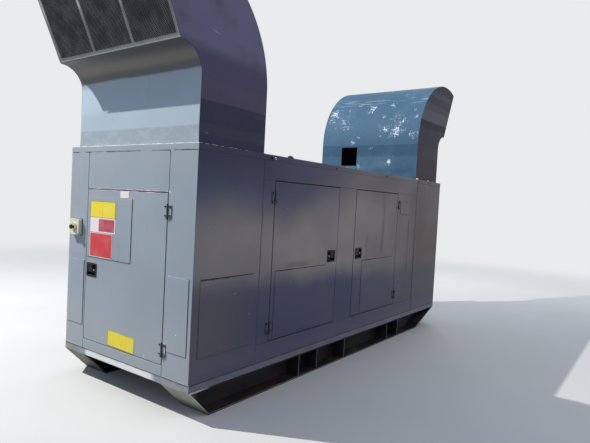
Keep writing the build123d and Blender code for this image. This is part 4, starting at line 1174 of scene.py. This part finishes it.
def hinge_bolts():
    """Two bolts on each door's leaf, and one bolt and an eye on the frame's."""
    fixed = bmesh.new()
    for door, (wall, axis, door_side) in HINGED_DOORS.items():
        moving = bmesh.new()
        low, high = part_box(door + "_hinge_leaves")
        for level in (low.z + HINGE_HEIGHT / 2, high.z - HINGE_HEIGHT / 2):
            place = wall(axis, level - DECK)
            out = door_side * BOLT_OUT
            for up in (-BOLT_UP, BOLT_UP):
                add_bolt(moving, lifted(place, out, up, LEAF_FACE), 0.0052, 0.006)
            add_bolt(fixed, lifted(place, -out, BOLT_UP, LEAF_FACE), 0.0065, 0.007)
            add_ring(fixed, lifted(place, -0.8 * out, -BOLT_UP - 0.004, LEAF_FACE), 0.012, 0.0028)
            add_block(fixed, place, (-door_side * LEAF_REACH, -0.045, 0.003),
                      (-door_side * (LEAF_REACH - 0.003), 0.045, 0.0056), 0.0006)
        make_piece(door + "_hinge_bolts", moving, (iron,), door)
    make_piece("fixed_hinge_bolts", fixed, (iron,), "enclosure")


LOCK_OUT = 0.0345       # from the middle of a latch to its lock
NEAR_LATCH, FAR_LATCH = 1.8370, 2.3960
# Each latch: its door, the body that carries it, its middle as a place on its wall, and which way its lock
# lies from there
LATCHES = (
    ("end_door", "end_door", on_end(1.2530, 0.749), 1),
    ("side_door_near", "side_door_near", on_side(NEAR_LATCH, SIDE_LATCH_LEVEL), -1),
    ("side_door_far", "side_door_far", on_side(FAR_LATCH, SIDE_LATCH_LEVEL), 1),
    ("hidden_door_near", "enclosure", on_hidden_side(NEAR_LATCH, SIDE_LATCH_LEVEL), 1),
    ("hidden_door_far", "enclosure", on_hidden_side(FAR_LATCH, SIDE_LATCH_LEVEL), -1),
)


def latch_locks():
    """Lock barrel with its key slot in each latch, and the two screws of its rim."""
    for door, body, place, lock_side in LATCHES:
        bm = bmesh.new()
        lock = lifted(place, lock_side * LOCK_OUT, 0, -0.0005)
        add_disc(bm, lock, 0.0082, 0.0024, 0.0074, 20)
        add_block(bm, lock @ Matrix.Rotation(radians(-35), 4, "Z"), (-0.0012, -0.0048, 0.0020),
                  (0.0012, 0.0048, 0.0027), material=1)
        for up in (-0.0525, 0.0525):
            add_disc(bm, lifted(place, 0, up, LEAF_FACE), 0.0034, 0.0012, 0.0028, 12, 1)
        make_piece(door + "_lock", bm, (zinc, nylon), body)


BOX_FINISH, RING_FINISH, KNOB_FINISH = range(3)
KNOB_START, RING_START = 0.0435, 0.0352     # out from the wall
RING_REACH = 0.039      # radius
STOP_LOW, STOP_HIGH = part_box("stop_box")
STOP_MIDDLE = (STOP_LOW + STOP_HIGH) / 2


def stop_finish(middle, normal):
    """Cream box with a pale yellow ring and a black knob."""
    out = NEAR - middle.x
    away = Vector((middle.y - STOP_MIDDLE.y, middle.z - STOP_MIDDLE.z)).length
    if out > KNOB_START:
        return KNOB_FINISH
    return RING_FINISH if out > RING_START and away < RING_REACH else BOX_FINISH


def stop_box_fittings():
    """Gasket behind the stop box, and its four lid screws."""
    bm = bmesh.new()
    base = on_end(STOP_MIDDLE.y - SIDE, STOP_MIDDLE.z - DECK)
    add_sheet(bm, base, 0.148, 0.148, 0.004, 0.014)
    for x in (-0.055, 0.055):
        for y in (-0.055, 0.055):
            add_disc(bm, lifted(base, x, y, 0.0345), 0.005, 0.0018, 0.0042, 12, 1)
    make_piece("stop_box_fittings", bm, (rubber, zinc), "enclosure")


hinge_bolts()
latch_locks()
finished("stop_box", (cream_box, ring_vinyl, nylon), 0.0012, stop_finish, 1)
stop_box_fittings()


# Plain plates on the end door

SIGN = 0.0016           # thick
YELLOW, RED, CRIMSON, WHITE, OLIVE = range(5)
PLATE_MATERIALS = (yellow_vinyl, red_vinyl, crimson_vinyl, white_vinyl, olive_vinyl)


def door_plates():
    """Blank coloured plates on the end door, with plain printed rims and no lettering."""
    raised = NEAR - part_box("end_door_plate")[0].x
    yellow = lifted(on_end(1.1135, 1.2685), 0, 0, raised)
    white = lifted(on_end(1.1105, 1.137), 0, 0, raised)
    crimson = lifted(white, 0.055, 0, SIGN - 0.0002)
    red = lifted(on_end(1.128, 0.968), 0, 0, raised)
    foot = on_end(0.812, 0.214) @ Matrix.Rotation(radians(-1.5), 4, "Z")
    bm = bmesh.new()
    add_sheet(bm, yellow, 0.353, 0.139, SIGN, 0.010, 0.005, (YELLOW, OLIVE))
    add_sheet(bm, white, 0.353, 0.124, SIGN, 0.008, materials=(WHITE,))
    add_sheet(bm, crimson, 0.218, 0.104, 0.0006, 0.010, materials=(CRIMSON,))
    add_sheet(bm, red, 0.316, 0.204, SIGN, 0.012, 0.004, (RED, WHITE))
    add_sheet(bm, foot, 0.350, 0.126, SIGN, 0.008, 0.004, (YELLOW, OLIVE))
    add_sheet(bm, on_end(0.832, 1.404), 0.112, 0.056, SIGN, 0.003, materials=(WHITE,))
    make_piece("end_door_blank_plates", bm, PLATE_MATERIALS, "end_door")


door_plates()


# Roof fittings

# Bolts of the roof band: places along it, and height
BAND_BOLTS = (1.859, 2.988, 3.944, 4.287)
BAND_BOLT_RISE = 1.775
DOME = Vector((NEAR + 1.124, SIDE + 0.036, ROOF))


def roof_fittings():
    """Bolts of the roof band, a washer beside a dark clip, and a rubber cable dome on the roof's edge."""
    bm = bmesh.new()
    for wall in (on_side, on_hidden_side):
        for along in BAND_BOLTS:
            add_bolt(bm, wall(along, BAND_BOLT_RISE), 0.008, 0.009)
    washer = on_side(0.869, 1.774)
    add_ring(bm, washer, 0.010, 0.0026, 20, 1)
    add_disc(bm, washer, 0.006, 0.004, 0.005, 12)
    add_block(bm, on_side(0.834, 1.775), (-0.018, -0.011, 0), (0.016, 0.012, 0.012), 0.003)
    make_piece("roof_band_fittings", bm, (iron, zinc), "enclosure")
    dome = bmesh.new()
    bmesh.ops.create_uvsphere(dome, u_segments=20, v_segments=10, radius=1,
                              matrix=Matrix.Translation(DOME) @ Matrix.Diagonal((0.029, 0.029, 0.024, 1)))
    cut_along(dome, DOME + 0.001 * UP, UP)
    bmesh.ops.delete(dome, geom=[v for v in dome.verts if v.co.z < ROOF + 0.0005], context="VERTS")
    bmesh.ops.holes_fill(dome, edges=dome.edges[:])
    add_disc(dome, Matrix.Translation(DOME - 0.0005 * UP), 0.036, 0.004, 0.034, 24)
    make_piece("roof_cable_dome", dome, (rubber,), "enclosure")


roof_fittings()


# Door seals

DOOR_CLEARANCE = 0.006  # all round a door
STOP_INNER, LIP_TOP = -0.0500, -0.0462      # fronts of the strip and of its lip, out from the wall
STOP_SHEET = 0.003      # thick
STOP_WIDTH = 0.022      # to each side of the doorway's edge
LIP_NEAR, LIP_FAR = 0.008, 0.018    # from the doorway's edge to the lip's two edges
LIP_ROUND = 0.0015


def doorway(door):
    """Middle of a door as a place on its wall, and half its width and height."""
    wall = HINGED_DOORS[door][0]
    low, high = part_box(door)
    start, end = (low.y - SIDE, high.y - SIDE) if wall is on_end else (low.x - NEAR, high.x - NEAR)
    return wall((start + end) / 2, (low.z + high.z) / 2 - DECK), (end - start) / 2, (high.z - low.z) / 2


def doorway_stops():
    """Steel stop strip with a rubber lip round the back of each doorway."""
    bm = bmesh.new()
    for door in HINGED_DOORS:
        middle, half, rise = doorway(door)
        half += DOOR_CLEARANCE
        rise += DOOR_CLEARANCE
        tall = rise + STOP_WIDTH
        wide = half - STOP_WIDTH
        for side in (-1, 1):
            add_block(bm, middle, (side * (half + STOP_WIDTH), -tall, STOP_INNER - STOP_SHEET),
                      (side * (half - STOP_WIDTH), tall, STOP_INNER))
            add_block(bm, middle, (side * (half - LIP_NEAR), LIP_NEAR - rise, STOP_INNER),
                      (side * (half - LIP_FAR), rise - LIP_NEAR, LIP_TOP), LIP_ROUND, 1)
            add_block(bm, middle, (-wide, side * (rise + STOP_WIDTH), STOP_INNER - STOP_SHEET),
                      (wide, side * (rise - STOP_WIDTH), STOP_INNER))
            add_block(bm, middle, (LIP_FAR - half, side * (rise - LIP_NEAR), STOP_INNER),
                      (half - LIP_FAR, side * (rise - LIP_FAR), LIP_TOP), LIP_ROUND, 1)
    make_piece("doorway_stops", bm, (side_enamel, rubber), "enclosure")


doorway_stops()

DOOR_DEPTH = 0.045
PAD_MARGIN = 0.050      # from the edge of a door to its pad
PAD_THICKNESS = 0.018
WASHER_EDGE = 0.060     # from the edge of a pad to its washers


def door_pads():
    """Foam pad glued inside each door, and the domed washers that hold it."""
    for door in HINGED_DOORS:
        middle, half, rise = doorway(door)
        half -= PAD_MARGIN
        rise -= PAD_MARGIN
        bm = bmesh.new()
        add_block(bm, middle, (-half, -rise, -DOOR_DEPTH - PAD_THICKNESS), (half, rise, -DOOR_DEPTH), 0.006)
        inward = lifted(middle, 0, 0, -DOOR_DEPTH - PAD_THICKNESS + 0.0005) @ Matrix.Rotation(pi, 4, "X")
        for x in (WASHER_EDGE - half, 0, half - WASHER_EDGE):
            for y in (WASHER_EDGE - rise, 0, rise - WASHER_EDGE):
                add_disc(bm, lifted(inward, x, y, 0), 0.019, 0.0045, 0.012, 20, 1)
        make_piece(door + "_foam_pad", bm, (foam, zinc), door)


door_pads()


# Machinery behind the doors

TANK_HEIGHT = 0.112


def radiator_finish(middle, normal):
    """Finned core between sheet-metal tanks."""
    low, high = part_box("radiator")
    core = low.z + TANK_HEIGHT < middle.z < high.z - TANK_HEIGHT and abs(normal.x) > 0.9
    return 0 if core else 1


finished("engine", (engine_enamel,), 0.004)
finished("alternator", (alternator_enamel,), 0.004)
finished("control_cabinet", (cabinet_enamel,), 0.003)
finished("engine_fan", (iron,), 0.0015, None, 1)
finished("radiator", (core_black, iron), 0.003, radiator_finish)


# Stage, lights and camera

BACKDROP = "#e9ebec"
FLOOR_EDGE = 4.0        # where the floor starts to melt into the backdrop
FLOOR_END = 13.0


def seen_directly(tree):
    """1 for what the camera sees, also in a mirror or through glass."""
    path = add(tree, "LightPath", {}).node.outputs
    return strongest(tree, [path["Is Camera Ray"], path["Is Glossy Ray"], path["Is Transmission Ray"]])


def studio_floor():
    """Pale floor that keeps the shadow and melts into the backdrop far away."""
    material, tree, place = new_material("pale_studio_floor")
    seen = seen_directly(tree)
    shade = patches(tree, place, 900, 0.3, 0.7)
    pale = layered(tree, "#c9cac9", [(shade, 0.4, "#c3c4c3")])
    surface = add(tree, "Mix", {0: seen, 6: colour("#767675"), 7: pale}, data_type="RGBA")
    floor = add(tree, "BsdfDiffuse", {"Color": surface})
    far = add(tree, "VectorMath", (place,), operation="LENGTH")
    far = add(tree, "MapRange", (far, FLOOR_EDGE, FLOOR_END), **SOFT)
    glow = add(tree, "Emission", {"Color": colour(BACKDROP), "Strength": 1})
    shader = add(tree, "MixShader", (thinned(tree, far, seen), floor, glow))
    add(tree, "OutputMaterial", {"Surface": shader})
    bm = bmesh.new()
    bmesh.ops.create_grid(bm, x_segments=1, y_segments=1, size=60)
    mesh = bpy.data.meshes.new("studio_floor")
    bm.to_mesh(mesh)
    bm.free()
    mesh.materials.append(material)
    plane = bpy.data.objects.new("studio_floor", mesh)
    bpy.context.collection.objects.link(plane)


def studio_world():
    """Pale backdrop, with a dimmer sky that does the lighting."""
    world = bpy.data.worlds.new("studio")
    bpy.context.scene.world = world
    world.use_nodes = True
    tree = world.node_tree
    tree.nodes.clear()
    sky = add(tree, "Background", {"Color": colour("#c4d9f6"), "Strength": 0.52})
    backdrop = add(tree, "Background", {"Color": colour(BACKDROP), "Strength": 1})
    both = add(tree, "MixShader", (seen_directly(tree), sky, backdrop))
    add(tree, "OutputWorld", {"Surface": both})


def soft_box(name, place, target, width, height, watts, tint):
    """Rectangular soft light that faces its target."""
    light = bpy.data.lights.new(name, "AREA")
    light.shape = "RECTANGLE"
    light.size = width
    light.size_y = height
    light.energy = watts
    light.color = colour(tint)[:3]
    lamp = bpy.data.objects.new(name, light)
    lamp.location = place
    lamp.rotation_euler = (Vector(target) - Vector(place)).to_track_quat("-Z", "Y").to_euler()
    bpy.context.collection.objects.link(lamp)


def place_camera():
    """Camera where the photograph was taken from."""
    heading, pitch, roll = radians(CAMERA_HEADING), radians(CAMERA_PITCH), radians(CAMERA_ROLL)
    ahead = Vector((cos(pitch) * cos(heading), cos(pitch) * sin(heading), sin(pitch)))
    level = ahead.cross(UP).normalized()
    right = cos(roll) * level + sin(roll) * ahead.cross(level)
    up = right.cross(ahead)
    data = bpy.data.cameras.new("camera")
    data.sensor_width = 36
    data.sensor_fit = "HORIZONTAL"
    data.lens = CAMERA_LENS
    camera = bpy.data.objects.new("camera", data)
    camera.matrix_world = Matrix.Translation(CAMERA_PLACE) @ Matrix((right, up, -ahead)).transposed().to_4x4()
    bpy.context.collection.objects.link(camera)
    bpy.context.scene.camera = camera


# The key light shines past the hood from the left, so that the lip's shadow falls as in the photograph
KEY_FROM = Vector((-0.380, 0.607, 0.698))
KEY_AIM = Vector((-2.0, 0.0, 2.0))

place_camera()
studio_floor()
studio_world()
soft_box("key_soft_box", KEY_AIM + 11 * KEY_FROM, KEY_AIM, 0.12, 0.12, 2060, "#fbf7f1")
soft_box("end_soft_box", (-9.5, -1.5, 3.5), (NEAR, 0, 1.4), 4.0, 3.0, 40, "#f4f8ff")
soft_box("side_soft_box", (0.3, -7.0, 6.5), (0.2, SIDE, 1.1), 7.0, 2.2, 150, "#fff1e2")
soft_box("back_soft_box", (8.0, 1.0, 5.0), (FAR, 0, 1.4), 4.0, 3.0, 260, "#ffffff")
bpy.context.scene.view_settings.view_transform = "Standard"
